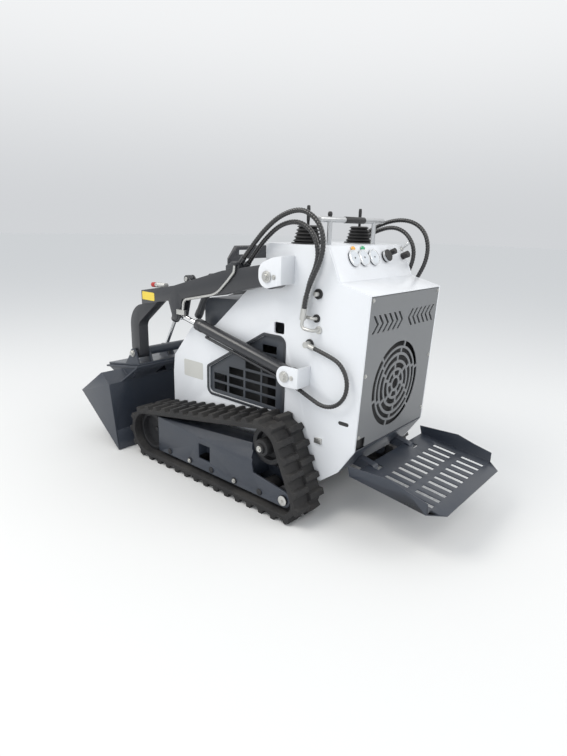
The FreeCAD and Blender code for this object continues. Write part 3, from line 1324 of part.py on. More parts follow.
def make_platform():
    front = (mm("step_front_x"), mm("step_front_z"))
    tip = (mm("step_tip_x"), mm("step_tip_z"))
    half = mm("step_half")
    thick = mm("step_thick")
    long = math.dist(front, tip)
    loops = [[(-half, 0), (half, 0), (half, long - 60), (half - 60, long), (60 - half, long),
              (-half, long - 60)]]
    for k in range(10):
        y = -250 + 500 * k / 9
        for start, end in ((100, 208), (240, 343)):
            loops.append([(y - 12, start), (y + 12, start), (y + 12, end), (y - 12, end)])
    floor = panel(front, tip, loops, thick, -1)
    wing = [front, (-641, 283), (-837, 290), (-917, 266), (-1000, 247), (-1000, front[1] - 45),
            (-652, front[1] - 3)]
    floor = floor.fuse(prism(wing, half - thick, half)).fuse(prism(wing, -half, thick - half))
    px, pz = mm("step_pin_x"), mm("step_pin_z")
    rad = mm("step_eye_rad")
    inner = mm("step_eye_y")
    wide = mm("step_eye_wide")
    hole = mm("step_pin_rad + pin_gap")
    brackets, pins = [], []
    for mirror in (1, -1):
        notch = block_shape(px - rad - 22, inner - 4, pz - 20, 70, wide + 8, 60)
        floor = floor.cut(flip(notch, mirror))
        floor = floor.fuse(flip(rod_y(px, pz, inner + wide + 4, inner + 2 * wide, rad), mirror))
        floor = floor.cut(flip(rod_y(px, pz, inner, inner + 2 * wide + 5, hole), mirror))
        arm = rounded([(-577.6, 222.1), (-604.4, 262.4), (px - rad, pz + rad + 3, rad),
                       (px - rad, pz - rad, rad)])
        arm = solid(arm, inner, inner + wide).cut(rod_y(px, pz, inner - 1, inner + wide + 1, hole))
        brackets.append(flip(arm, mirror))
        pins.append(flip(rod_y(px, pz, inner - 6, inner + 2 * wide + 6, mm("step_pin_rad")), mirror))
    keep("platform", shaped("platform", floor.removeSplitter()))
    keep("platform_brackets", shaped("platform_brackets", Part.makeCompound(brackets)))
    keep("platform_pins", shaped("platform_pins", Part.makeCompound(pins)))


# Gauges, switch, knobs and lamps: side place, share of the console's slope, radius and height
GAUGES = ((150, 0.63, 34, 9), (78, 0.63, 34, 9), (0, 0.63, 34, 9), (-101, 0.64, 26, 22),
          (-166, 0.76, 13, 24), (140, 0.9, 8, 7), (68, 0.9, 8, 7), (-255, 0.62, 15, 34))


def turned(ring, px, py):
    """A solid of revolution about an upright axis; ring holds (radius, height)."""
    wire = Part.makePolygon([Vector(r, 0, h) for r, h in ring + ring[:1]])
    item = Part.Face(wire).revolve(Vector(0, 0, 0), Vector(0, 0, 1), 360)
    item.translate(Vector(px, py, 0))
    return item


def bellows(px, py):
    """A ribbed rubber boot, narrower towards its top."""
    folds = 5
    rad, tall = mm("boot_rad"), mm("boot_tall")
    z = mm("hood_z")
    step = (tall - 5) / folds
    ring = [(0, z), (rad, z), (rad, z + 5)]
    for k in range(folds):
        outer = rad - 6 - 4 * k
        low = z + 5 + step * k
        ring += [(outer - 9, low + step * 0.15), (outer, low + step * 0.55), (outer - 10, low + step)]
    ring.append((0, z + tall))
    return turned(ring, px, py)


def lever(px, py):
    """An upright lever with a grip that widens towards its top."""
    foot = mm("hood_z + boot_tall")
    low = foot + mm("lever_neck")
    top = low + mm("grip_tall")
    rad = mm("grip_rad")
    ring = [(0, foot), (6, foot), (6, low), (rad - 4, low), (rad - 2, low + 20), (rad, top - 14)]
    ring += [(rad - 4, top - 4), (rad - 9, top), (0, top)]
    return turned(ring, px, py)


def make_controls():
    """Reference bar on two posts, levers in boots, gauges and lamps."""
    bar = bar_y("bar_rail", "bar_x", "bar_z", "-bar_half", "2 * bar_half", "bar_rad")
    posts = [bar_z(f"bar_post{k}", "bar_x", y, "hood_z", "bar_z - hood_z", "bar_rad - 2")
             for k, y in enumerate(("post_y", "-post_y"))]
    keep("handle_bar", fuse("handle_bar", [bar] + posts))
    sides = (mm("lever_y"), -mm("lever_y"))
    boots = [bellows(mm("lever_x"), y) for y in sides]
    levers = [lever(mm("lever_x"), y) for y in sides]
    keep("lever_boots", shaped("lever_boots", Part.makeCompound(boots)))
    keep("control_levers", shaped("control_levers", Part.makeCompound(levers)))
    foot = (mm("console_low_x"), mm("console_low_z"))
    top = (mm("console_top_x"), mm("hood_z"))
    way = Vector(top[0] - foot[0], 0, top[1] - foot[1]).normalize()
    out = Vector(-way.z, 0, way.x)
    gauges = []
    for y, share, rad, tall in GAUGES:
        spot = Vector(foot[0], y, foot[1]) + way * (share * math.dist(foot, top))
        gauges.append(Part.makeCylinder(rad, tall, spot, out))
    keep("gauges", shaped("gauges", Part.makeCompound(gauges)))


def write_parts():
    """Recomputes, checks and writes every sub-part."""
    doc.recompute()
    for item in doc.Objects:
        if "Invalid" in item.State or "Error" in item.State:
            raise ValueError(f"{item.Label} failed: {item.State}")
    for label, item in nodes.items():
        shape = item.Shape
        if shape.isNull() or not shape.isValid() or shape.Volume <= 0:
            raise ValueError(f"{label} has a faulty shape")
        shape.exportStep(f"parts/{label}.step")
        print(f"{label}: {len(shape.Solids)} solids, {shape.Volume / 1e6:.3f} litres")


make_side_plates()
make_covers()
make_engine_cover()
make_rear_panel()
make_engine()
make_grilles()
make_port_trims()
make_ears()
make_chassis_pins()
make_tracks()
make_track_frames()
make_wheels()
make_beams()
make_boom_arms()
make_drop_arms()
make_cross_tube()
make_cylinders()
make_hoses()
make_side_fittings()
make_hose_blocks()
make_boom_lines()
make_couplers()
make_boom_hoop()
make_hitch()
make_bucket()
make_platform()
make_controls()
write_parts()
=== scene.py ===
"""Looks of the tracked skid steer loader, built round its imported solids."""
import json
import math

import bmesh
import bpy
from mathutils import Matrix, Vector


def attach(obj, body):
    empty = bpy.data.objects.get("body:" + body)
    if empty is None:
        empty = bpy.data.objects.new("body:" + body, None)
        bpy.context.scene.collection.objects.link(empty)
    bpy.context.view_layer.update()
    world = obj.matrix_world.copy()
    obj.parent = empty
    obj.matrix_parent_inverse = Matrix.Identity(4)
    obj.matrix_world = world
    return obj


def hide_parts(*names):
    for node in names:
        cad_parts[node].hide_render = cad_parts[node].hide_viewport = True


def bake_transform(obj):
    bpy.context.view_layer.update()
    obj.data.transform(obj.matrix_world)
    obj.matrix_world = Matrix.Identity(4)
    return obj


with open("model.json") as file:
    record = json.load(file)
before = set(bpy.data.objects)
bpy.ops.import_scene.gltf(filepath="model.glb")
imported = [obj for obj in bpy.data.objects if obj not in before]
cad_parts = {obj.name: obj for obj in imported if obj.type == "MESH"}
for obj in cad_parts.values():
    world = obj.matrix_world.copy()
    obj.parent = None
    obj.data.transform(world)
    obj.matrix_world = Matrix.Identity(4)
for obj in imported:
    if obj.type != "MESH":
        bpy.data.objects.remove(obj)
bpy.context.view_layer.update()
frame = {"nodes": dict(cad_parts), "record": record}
BODY_OF = {node: body for body, nodes in frame["record"]["behaviour"]["bodies"].items() for node in nodes}

# Paints and finishes: colour, roughness, metallic, coat, dust colour, dust share, bump height
FINISHES = {
    "white_paint": ((0.78, 0.80, 0.83), 0.34, 0.0, 0.35, (0.50, 0.47, 0.42), 0.10, 0.00012),
    "boom_paint": ((0.020, 0.022, 0.027), 0.34, 0.0, 0.35, (0.18, 0.17, 0.16), 0.09, 0.00012),
    "slate_paint": ((0.026, 0.034, 0.050), 0.40, 0.0, 0.25, (0.17, 0.165, 0.16), 0.13, 0.00015),
    "panel_grey": ((0.175, 0.182, 0.190), 0.48, 0.0, 0.12, (0.30, 0.29, 0.27), 0.14, 0.00018),
    "cover_grey": ((0.036, 0.043, 0.055), 0.42, 0.0, 0.20, (0.19, 0.185, 0.18), 0.12, 0.00015),
    "track_rubber": ((0.0095, 0.0095, 0.011), 0.66, 0.0, 0.0, (0.115, 0.108, 0.098), 0.24, 0.0006),
    "wheel_iron": ((0.014, 0.015, 0.018), 0.52, 0.1, 0.0, (0.10, 0.09, 0.08), 0.22, 0.0005),
    "zinc": ((0.60, 0.60, 0.58), 0.34, 0.9, 0.0, (0.34, 0.32, 0.29), 0.15, 0.0001),
    "chrome": ((0.86, 0.87, 0.88), 0.08, 1.0, 0.0, (0.40, 0.38, 0.35), 0.05, 0.00002),
    "black_plastic": ((0.010, 0.010, 0.011), 0.46, 0.0, 0.0, (0.12, 0.115, 0.11), 0.08, 0.0002),
    "engine_dark": ((0.035, 0.036, 0.038), 0.70, 0.2, 0.0, (0.12, 0.11, 0.10), 0.30, 0.0005),
    "hose_guard": ((0.009, 0.009, 0.010), 0.26, 0.0, 0.45, (0.12, 0.115, 0.11), 0.07, 0.0001),
    "bar_silver": ((0.56, 0.57, 0.58), 0.30, 0.75, 0.1, (0.36, 0.34, 0.31), 0.12, 0.00005),
    "red_cap": ((0.42, 0.018, 0.014), 0.45, 0.0, 0.1, (0.30, 0.24, 0.21), 0.12, 0.0001),
    "trim_rubber": ((0.022, 0.026, 0.033), 0.44, 0.0, 0.2, (0.17, 0.165, 0.16), 0.09, 0.0001),
    "dial_pale": ((0.70, 0.74, 0.78), 0.16, 0.25, 0.9, (0.45, 0.44, 0.42), 0.04, 0.00002),
    "amber_lens": ((0.85, 0.42, 0.05), 0.18, 0.0, 0.8, (0.40, 0.36, 0.30), 0.05, 0.00002),
    "green_lens": ((0.01, 0.36, 0.14), 0.18, 0.0, 0.8, (0.30, 0.34, 0.28), 0.05, 0.00002),
    "sticker_yellow": ((0.82, 0.62, 0.06), 0.40, 0.0, 0.3, (0.42, 0.38, 0.28), 0.12, 0.00003),
    "sticker_pale": ((0.60, 0.60, 0.57), 0.30, 0.45, 0.2, (0.40, 0.36, 0.30), 0.15, 0.00003),
}

NODE_FINISH = {
    "white_paint": ("side_plate_left", "side_plate_right", "console", "hood", "front_panel", "ear_brackets"),
    "boom_paint": ("boom_arm_left", "boom_arm_right", "drop_arms", "cross_tube", "lift_barrel_left",
                   "lift_barrel_right", "tilt_barrel_left", "tilt_barrel_right", "boom_hoop", "hose_blocks"),
    "slate_paint": ("belly_pan", "platform", "platform_brackets", "bucket", "cutting_edge", "track_frame_left",
                    "track_frame_right", "undercarriage_beams", "hitch_frame"),
    "cover_grey": ("engine_cover", "side_grilles"),
    "track_rubber": ("track_left", "track_right"),
    "wheel_iron": ("sprockets", "drive_motors", "idlers", "rollers"),
    "zinc": ("chassis_pins", "tilt_base_pins", "hitch_pins", "platform_pins", "side_fittings", "boom_lines",
             "couplers"),
    "red_cap": ("coupler_caps",),
    "bar_silver": ("handle_bar",),
    "trim_rubber": ("port_trims",),
    "chrome": ("lift_rod_left", "lift_rod_right", "tilt_rod_left", "tilt_rod_right"),
    "black_plastic": ("lever_boots", "control_levers", "gauges"),
    "engine_dark": ("engine_block", "radiator"),
}

# Plates with many slots, whose faces stay as triangles
PIERCED = ("platform", "side_grilles", "port_trims")

# In degrees: faces flatter than this merge, edges past this are rounded, edges past this shade sharp
FLAT_ANGLE, ROUNDED_ANGLE, SHARP_ANGLE = 0.6, 38, 34
LATHED_SHARP_ANGLE = 35

# Points this close, in metres, are one
WELD_REACH = 0.00002

# Boxes joined to or cut from a dressed copy: low corner, high corner, operation; the frame's window
RESHAPED = {
    "track_frame_left": (((0.104, 0.4470, 0.184), (0.146, 0.4560, 0.228), "UNION"),
                         ((0.044, 0.4050, 0.119), (0.123, 0.4700, 0.196), "DIFFERENCE")),
    "track_frame_right": (((0.104, -0.4560, 0.184), (0.146, -0.4470, 0.228), "UNION"),
                          ((0.044, -0.4700, 0.119), (0.123, -0.4050, 0.196), "DIFFERENCE")),
}

# Slimmer than in the CAD: upright axes, the radius that stays, and the share kept of what lies beyond it
SLIMMED = {"control_levers": (((-0.292, 0.195), (-0.292, -0.195)), 0.006, 0.2)}

# Width of the worn, rounded edges of each finish, in metres
EDGE_WIDTH = {"white_paint": 0.0012, "track_rubber": 0.0016, "slate_paint": 0.0014, "boom_paint": 0.0018,
              "panel_grey": 0.0006, "cover_grey": 0.0010, "wheel_iron": 0.0015, "zinc": 0.0008, "chrome": 0.0004,
              "black_plastic": 0.0012, "engine_dark": 0.002, "red_cap": 0.0008, "bar_silver": 0.0010,
              "trim_rubber": 0.0014}

# Control points of the hoses, from the side plate over the boom pivot to the arm; the right ones mirror in y
BOOM_HOSES = {
    "boom_hose_left_outer": (1, 0.826, (
        (-0.400, 0.338, 0.900), (-0.408, 0.338, 0.960), (-0.438, 0.339, 1.025), (-0.471, 0.340, 1.085),
        (-0.486, 0.341, 1.150), (-0.474, 0.342, 1.210), (-0.436, 0.343, 1.255), (-0.368, 0.343, 1.282),
        (-0.271, 0.343, 1.258), (-0.190, 0.343, 1.204), (-0.122, 0.343, 1.140), (-0.066, 0.343, 1.080))),
    "boom_hose_left_inner": (1, 0.680, (
        (-0.392, 0.316, 0.945), (-0.403, 0.316, 1.000), (-0.430, 0.316, 1.056), (-0.444, 0.317, 1.110),
        (-0.432, 0.317, 1.167), (-0.394, 0.317, 1.212), (-0.330, 0.317, 1.237), (-0.246, 0.317, 1.220),
        (-0.172, 0.317, 1.168), (-0.116, 0.317, 1.112), (-0.070, 0.317, 1.058))),
    "boom_hose_right_outer": (-1, 0.892, (
        (-0.500, 0.338, 0.880), (-0.514, 0.338, 0.945), (-0.546, 0.339, 1.008), (-0.574, 0.340, 1.070),
        (-0.580, 0.341, 1.140), (-0.556, 0.342, 1.204), (-0.500, 0.343, 1.246), (-0.420, 0.343, 1.258),
        (-0.330, 0.343, 1.238), (-0.240, 0.343, 1.192), (-0.150, 0.343, 1.136), (-0.066, 0.343, 1.074))),
    "boom_hose_right_inner": (-1, 0.740, (
        (-0.470, 0.316, 0.925), (-0.484, 0.316, 0.985), (-0.512, 0.316, 1.042), (-0.524, 0.317, 1.102),
        (-0.510, 0.317, 1.155), (-0.466, 0.317, 1.204), (-0.398, 0.317, 1.224), (-0.318, 0.317, 1.204),
        (-0.240, 0.317, 1.164), (-0.160, 0.317, 1.118), (-0.072, 0.317, 1.060))),
}

# Control points of the hose to a lift cylinder
LIFT_HOSE = ((-0.446, 0.318, 0.738), (-0.511, 0.320, 0.724), (-0.579, 0.324, 0.703), (-0.620, 0.327, 0.647),
             (-0.618, 0.328, 0.577), (-0.575, 0.328, 0.523), (-0.508, 0.328, 0.505), (-0.436, 0.330, 0.532),
             (-0.372, 0.332, 0.559), (-0.3101, 0.333, 0.575))
BOOM_HOSE_RADIUS, LIFT_HOSE_RADIUS = 0.010, 0.009

# The hose guard's spiral: how far it lies under the hose's radius, how high it rises, and its pitch
GUARD_UNDER, GUARD_RISE, GUARD_PITCH = 0.0009, 0.0013, 0.012

# The rear plate, up its slope: half width, foot, top, half thickness, and the notch in its corner
PLATE_HALF, PLATE_FOOT, PLATE_TOP, PLATE_HALF_THICK = 0.2847, 0.006, 0.6315, 0.0019
NOTCH_WIDE, NOTCH_TALL = 0.062, 0.045
PLATE_PLACE, PLATE_SLOPE, PLATE_INWARD = (-0.653, 0, 0.336), (-0.026, 0, 0.637), 0.002

# The fan guard's middle on the plate, its hub hole, and the inner and outer radius of each ring of slots
FAN_Y, FAN_UP, HUB_RADIUS, HUB_STEPS = 0.018, 0.2402, 0.024, 28
FAN_RINGS = ((0.036, 0.058), (0.070, 0.092), (0.104, 0.126), (0.138, 0.156), (0.166, 0.188))
RING_SLOTS, RING_STEPS, RING_BAR = 6, 12, 0.011
# Each ring starts this many degrees on, and further by this many for each metre of radius
SWIRL_START, SWIRL_RATE = 5, 250

# One chevron's corners; the first stands beside the middle, and the rest follow at the pitch
CHEVRON = ((0, 0.036), (0.032, 0.072), (0.047, 0.072), (0.015, 0.036), (0.047, 0), (0.032, 0))
CHEVRONS_A_SIDE, CHEVRON_FIRST, CHEVRON_PITCH, CHEVRON_UP = 6, 0.020, 0.0385, 0.487

# The console's face: foot, rise to its top, and outward direction
CONSOLE_FOOT = Vector((-0.534, 0, 1.010))
CONSOLE_RISE = Vector((0.060, 0, 0.135))
CONSOLE_OUT = (-0.9138, 0, 0.4061)

# Places on the console: y, and share of the way up its face
GAUGE_YS, GAUGE_SHARE = (0.150, 0.078, 0.0), 0.63
SWITCH_PLACE, TOGGLE_PLACE = (-0.101, 0.64), (-0.266, 0.86)
LAMPS = (("warning_lamp", 0.140, "amber_lens"), ("running_lamp", 0.068, "green_lens"))
LAMP_SHARE = 0.90

# Profiles of turned trims: radius and height of each corner
BEZEL = ((0.0285, 0.0), (0.0352, 0.0), (0.0352, 0.0046), (0.0340, 0.0062), (0.0318, 0.0066), (0.0300, 0.0052),
         (0.0285, 0.0034))
DIAL = ((0, 0.0), (0.0290, 0.0), (0.0290, 0.0012), (0, 0.0012))
DIAL_HUB = ((0, 0.0), (0.0035, 0.0), (0.0030, 0.0018), (0, 0.0022))
SWITCH_RING = ((0.0255, 0.0), (0.0275, 0.0), (0.0280, 0.0050), (0.0275, 0.0100), (0.0255, 0.0100))
LAMP_DOME = ((0, 0.0), (0.0105, 0.0), (0.0105, 0.0030), (0.0092, 0.0070), (0.0060, 0.0098), (0, 0.0110))
TOGGLE_NUT = ((0, 0.0), (0.0100, 0.0), (0.0100, 0.0060), (0.0070, 0.0080), (0, 0.0080))
TOGGLE_LEVER = ((0, 0.0), (0.0034, 0.0), (0.0075, 0.0280), (0.0080, 0.0360), (0.0066, 0.0400), (0, 0.0405))
BAR_SLEEVE = ((0, 0.0), (0.0126, 0.0), (0.0138, 0.0020), (0.0138, 0.1490), (0.0126, 0.1510), (0, 0.1510))
BAR_KNOB = ((0, 0.0), (0.0070, 0.0), (0.0095, 0.0060), (0.0095, 0.0150), (0.0060, 0.0200), (0, 0.0210))
DRIVE_HUB = ((0, 0.0), (0.040, 0.0), (0.040, 0.036), (0.036, 0.044), (0.024, 0.046), (0.022, 0.056), (0, 0.056))
IDLER_CAP = ((0, 0.0), (0.022, 0.0), (0.022, 0.0030), (0.019, 0.0046), (0.008, 0.0050), (0, 0.0050))

# Black grommets round the pipes on the side plates: side, x, z, pipe's radius and outer radius
SIDE_FACE_Y = 0.295
GROMMETS = (
    (1, -0.4380, 0.9580, 0.0093, 0.0207), (1, -0.4339, 0.8586, 0.0078, 0.0168), (1, -0.4040, 0.7480, 0.0133, 0.0207),
    (-1, -0.4380, 0.9580, 0.0093, 0.0207), (-1, -0.5094, 0.8391, 0.0078, 0.0168),
    (-1, -0.4040, 0.7480, 0.0133, 0.0207),
)

# Thin plates: name, span in x and z, y of the face, thickness, corner radius, finish, body
PLATES = (
    ("arm_sticker", (0.558, 0.661), (0.824, 0.866), 0.3630, 0.0006, 0.006, "sticker_yellow", "boom"),
    ("side_sticker", (0.268, 0.415), (0.449, 0.537), 0.2950, 0.0006, 0.008, "sticker_pale", "chassis"),
    # The slot is a dark plate laid on the side plate: painted shade in place of the slot's recess
    ("side_slot_painted_shade", (-0.618, -0.568), (0.437, 0.453), 0.2950, 0.0008, 0.0079, "engine_dark", "chassis"),
)

# Bolts facing sideways on each side: node that they hold or None for the chassis, x, y, z, size beside an M10 head
SIDE_BOLTS = (
    (None, -0.234, 0.389, 1.014, 1.5), (None, -0.342, 0.389, 0.611, 1.5), (None, -0.272, 0.381, 1.014, 0.9),
    (None, -0.380, 0.381, 0.611, 0.9), (None, -0.123, 0.460, 0.084, 0.9), (None, 0.191, 0.460, 0.084, 0.9),
    (None, -0.294, 0.476, 0.300, 1.2), (None, -0.421, 0.469, 0.098, 0.8),
    ("hitch_pins", 0.745, 0.388, 0.520, 1.5), ("platform_pins", -0.668, 0.222, 0.226, 0.9),
)
# Bolts of the rear plate on each side: x and z, with their y, outward direction and size
REAR_BOLTS = ((-0.6783, 0.955), (-0.6661, 0.657), (-0.6554, 0.395))
REAR_BOLT_Y, REAR_BOLT_OUT, REAR_BOLT_SIZE = 0.272, (-0.9992, 0, -0.0408), 0.75

# Studio lamps: place, power, size and tint; all aim at the same point
STUDIO_LAMPS = {
    "key": ((1.4, 3.2, 4.6), 120, 2.6, (1.0, 0.97, 0.92)),
    "back": ((-3.6, -1.2, 3.4), 60, 3.0, (1.0, 0.98, 0.95)),
    "fill": ((-3.0, 4.2, 1.8), 25, 3.5, (0.92, 0.96, 1.0)),
}
LAMP_AIM = (0, 0, 0.5)
FLOOR_HALF, FLOOR_COLOUR, FLOOR_ROUGHNESS = 40, (0.82, 0.82, 0.81), 0.9
SKY_COLOUR, SKY_STRENGTH = (0.89, 0.92, 0.96, 1), 0.85
BACKDROP_LOW, BACKDROP_HIGH, BACKDROP_RISE = (0.640, 0.655, 0.675, 1), (0.90, 0.91, 0.92, 1), 0.35

# The reference view: place, directions, and the lens in the photo's pixels over its longer side
CAMERA_PLACE = (-1.71847, 2.01085, 1.223557)
CAMERA_RIGHT, CAMERA_UP = (-0.757862, -0.651855, 0.027029), (0.201161, -0.194063, 0.960142)
LENS_PIXELS, PHOTO_PIXELS, SENSOR = 532.47, 756, 36


def link(tree, start, end):
    tree.links.new(start, end)


def add_node(nodes, kind, inputs=(), **settings):
    """Adds a node with its settings and the values of its inputs."""
    node = nodes.new(kind)
    for name, value in settings.items():
        setattr(node, name, value)
    for socket, value in dict(inputs).items():
        node.inputs[socket].default_value = value
    return node


def in_scene(name, data):
    """Adds an object that shows a mesh, lamp or camera."""
    holder = bpy.data.objects.new(name, data)
    bpy.context.scene.collection.objects.link(holder)
    return holder


def outward_mesh(work, name):
    """The built faces as a mesh, all facing outward."""
    bmesh.ops.recalc_face_normals(work, faces=work.faces)
    mesh = bpy.data.meshes.new(name)
    work.to_mesh(mesh)
    work.free()
    return mesh


def weathering_group():
    """Dust that gathers on upward faces and in patches, with a fine grain."""
    group = bpy.data.node_groups.new("Weathering", "ShaderNodeTree")
    for label, kind, value in (("Colour", "NodeSocketColor", (0.5, 0.5, 0.5, 1)),
                               ("Dust Colour", "NodeSocketColor", (0.4, 0.38, 0.35, 1)),
                               ("Dust", "NodeSocketFloat", 0.2), ("Roughness", "NodeSocketFloat", 0.5),
                               ("Patch Scale", "NodeSocketFloat", 5.0), ("Grain Scale", "NodeSocketFloat", 420.0)):
        socket = group.interface.new_socket(label, in_out="INPUT", socket_type=kind)
        socket.default_value = value
    for label, kind in (("Colour", "NodeSocketColor"), ("Roughness", "NodeSocketFloat"),
                        ("Height", "NodeSocketFloat")):
        group.interface.new_socket(label, in_out="OUTPUT", socket_type=kind)
    nodes = group.nodes
    put = nodes.new("NodeGroupInput")
    out = nodes.new("NodeGroupOutput")
    place = nodes.new("ShaderNodeTexCoord")
    patches = add_node(nodes, "ShaderNodeTexNoise", {"Detail": 6, "Roughness": 0.65})
    specks = add_node(nodes, "ShaderNodeTexNoise", {"Scale": 95, "Detail": 4})
    grain = add_node(nodes, "ShaderNodeTexNoise", {"Detail": 2})
    for node in (patches, specks, grain):
        link(group, place.outputs["Object"], node.inputs["Vector"])
    link(group, put.outputs["Patch Scale"], patches.inputs["Scale"])
    link(group, put.outputs["Grain Scale"], grain.inputs["Scale"])
    facing = nodes.new("ShaderNodeNewGeometry")
    split = nodes.new("ShaderNodeSeparateXYZ")
    link(group, facing.outputs["Normal"], split.inputs["Vector"])
    upward = add_node(nodes, "ShaderNodeMapRange", {"From Min": -0.2, "From Max": 1.0, "To Min": 0.35, "To Max": 1.5})
    link(group, split.outputs["Z"], upward.inputs["Value"])
    sharp = add_node(nodes, "ShaderNodeMapRange", {"From Min": 0.38, "From Max": 0.70})
    link(group, patches.outputs["Fac"], sharp.inputs["Value"])
    speckled = add_node(nodes, "ShaderNodeMath", {1: 0.8, 2: -0.25}, operation="MULTIPLY_ADD")
    link(group, specks.outputs["Fac"], speckled.inputs[0])
    both = add_node(nodes, "ShaderNodeMath", operation="ADD")
    link(group, sharp.outputs["Result"], both.inputs[0])
    link(group, speckled.outputs[0], both.inputs[1])
    risen = add_node(nodes, "ShaderNodeMath", operation="MULTIPLY")
    link(group, both.outputs[0], risen.inputs[0])
    link(group, upward.outputs["Result"], risen.inputs[1])
    share = add_node(nodes, "ShaderNodeMath", operation="MULTIPLY", use_clamp=True)
    link(group, risen.outputs[0], share.inputs[0])
    link(group, put.outputs["Dust"], share.inputs[1])
    blend = add_node(nodes, "ShaderNodeMix", data_type="RGBA")
    link(group, share.outputs[0], blend.inputs["Factor"])
    link(group, put.outputs["Colour"], blend.inputs["A"])
    link(group, put.outputs["Dust Colour"], blend.inputs["B"])
    rough = add_node(nodes, "ShaderNodeMath", {1: 0.6}, operation="MULTIPLY_ADD", use_clamp=True)
    link(group, share.outputs[0], rough.inputs[0])
    link(group, put.outputs["Roughness"], rough.inputs[2])
    link(group, blend.outputs["Result"], out.inputs["Colour"])
    link(group, rough.outputs[0], out.inputs["Roughness"])
    link(group, grain.outputs["Fac"], out.inputs["Height"])
    return group


WEATHERING = weathering_group()


def finish_material(name, colour, rough, metallic, coat, dust_colour, dust, bump):
    """A Principled surface whose colour, roughness and bump come from the weathering group."""
    material = bpy.data.materials.new(name)
    material.use_nodes = True
    tree = material.node_tree
    shader = tree.nodes["Principled BSDF"]
    values = {"Colour": (*colour, 1), "Dust Colour": (*dust_colour, 1), "Dust": dust, "Roughness": rough}
    worn = add_node(tree.nodes, "ShaderNodeGroup", values, node_tree=WEATHERING)
    shader.inputs["Metallic"].default_value = metallic
    shader.inputs["Coat Weight"].default_value = coat
    shader.inputs["Coat Roughness"].default_value = 0.18
    height = add_node(tree.nodes, "ShaderNodeBump", {"Distance": bump})
    link(tree, worn.outputs["Colour"], shader.inputs["Base Color"])
    link(tree, worn.outputs["Roughness"], shader.inputs["Roughness"])
    link(tree, worn.outputs["Height"], height.inputs["Height"])
    link(tree, height.outputs["Normal"], shader.inputs["Normal"])
    return material


MATERIALS = {name: finish_material(name, *values) for name, values in FINISHES.items()}


def add_mesh(name, mesh, material, body):
    """Puts a finished mesh in the scene, riding on a CAD body."""
    piece = in_scene(name, mesh)
    mesh.materials.clear()
    mesh.materials.append(material)
    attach(piece, body)
    return piece


def settle(piece):
    """Turns a piece's modifiers into plain mesh."""
    graph = bpy.context.evaluated_depsgraph_get()
    mesh = bpy.data.meshes.new_from_object(piece.evaluated_get(graph))
    old = piece.data
    piece.modifiers.clear()
    piece.data = mesh
    bpy.data.meshes.remove(old)


def box_object(low, high):
    """A box that a Boolean joins or cuts, and that is then removed."""
    mesh = bpy.data.meshes.new("box")
    work = bmesh.new()
    bmesh.ops.create_cube(work, size=1)
    middle = (Vector(low) + Vector(high)) / 2
    span = Vector(high) - Vector(low)
    for vertex in work.verts:
        vertex.co = Vector([middle[k] + vertex.co[k] * span[k] for k in range(3)])
    work.to_mesh(mesh)
    work.free()
    return in_scene("box", mesh)


def slim(work, axes, stays, share):
    """Draws a turned shape's outer points towards the nearest of its axes."""
    for vertex in work.verts:
        axis = min((Vector((x, y, vertex.co.z)) for x, y in axes), key=lambda spot: (vertex.co - spot).length)
        radius = (vertex.co - axis).length
        if radius > stays:
            vertex.co = axis + (vertex.co - axis) * (stays + (radius - stays) * share) / radius


def dress_node(node, finish):
    """Shows a CAD node as one welded mesh with rounded edges and smooth curves."""
    mesh = frame["nodes"][node].data.copy()
    work = bmesh.new()
    work.from_mesh(mesh)
    bmesh.ops.remove_doubles(work, verts=work.verts, dist=WELD_REACH)
    if node not in PIERCED:
        bmesh.ops.dissolve_limit(work, angle_limit=math.radians(FLAT_ANGLE), verts=work.verts, edges=work.edges)
    if node in SLIMMED:
        slim(work, *SLIMMED[node])
    work.to_mesh(mesh)
    work.free()
    piece = add_mesh("dressed_" + node, mesh, MATERIALS[finish], BODY_OF[node])
    boxes = []
    for low, high, operation in RESHAPED.get(node, ()):
        boxes.append(box_object(low, high))
        change = piece.modifiers.new("reshape", "BOOLEAN")
        change.object = boxes[-1]
        change.operation = operation
        change.solver = "EXACT"
    bevel = piece.modifiers.new("edge", "BEVEL")
    bevel.width = EDGE_WIDTH[finish]
    bevel.segments = 2
    bevel.limit_method = "ANGLE"
    bevel.angle_limit = math.radians(ROUNDED_ANGLE)
    bevel.use_clamp_overlap = False
    bevel.miter_outer = "MITER_ARC"
    settle(piece)
    for box in boxes:
        bpy.data.objects.remove(box)
    for face in piece.data.polygons:
        face.use_smooth = True
    piece.data.set_sharp_from_angle(angle=math.radians(SHARP_ANGLE))
    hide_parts(node)


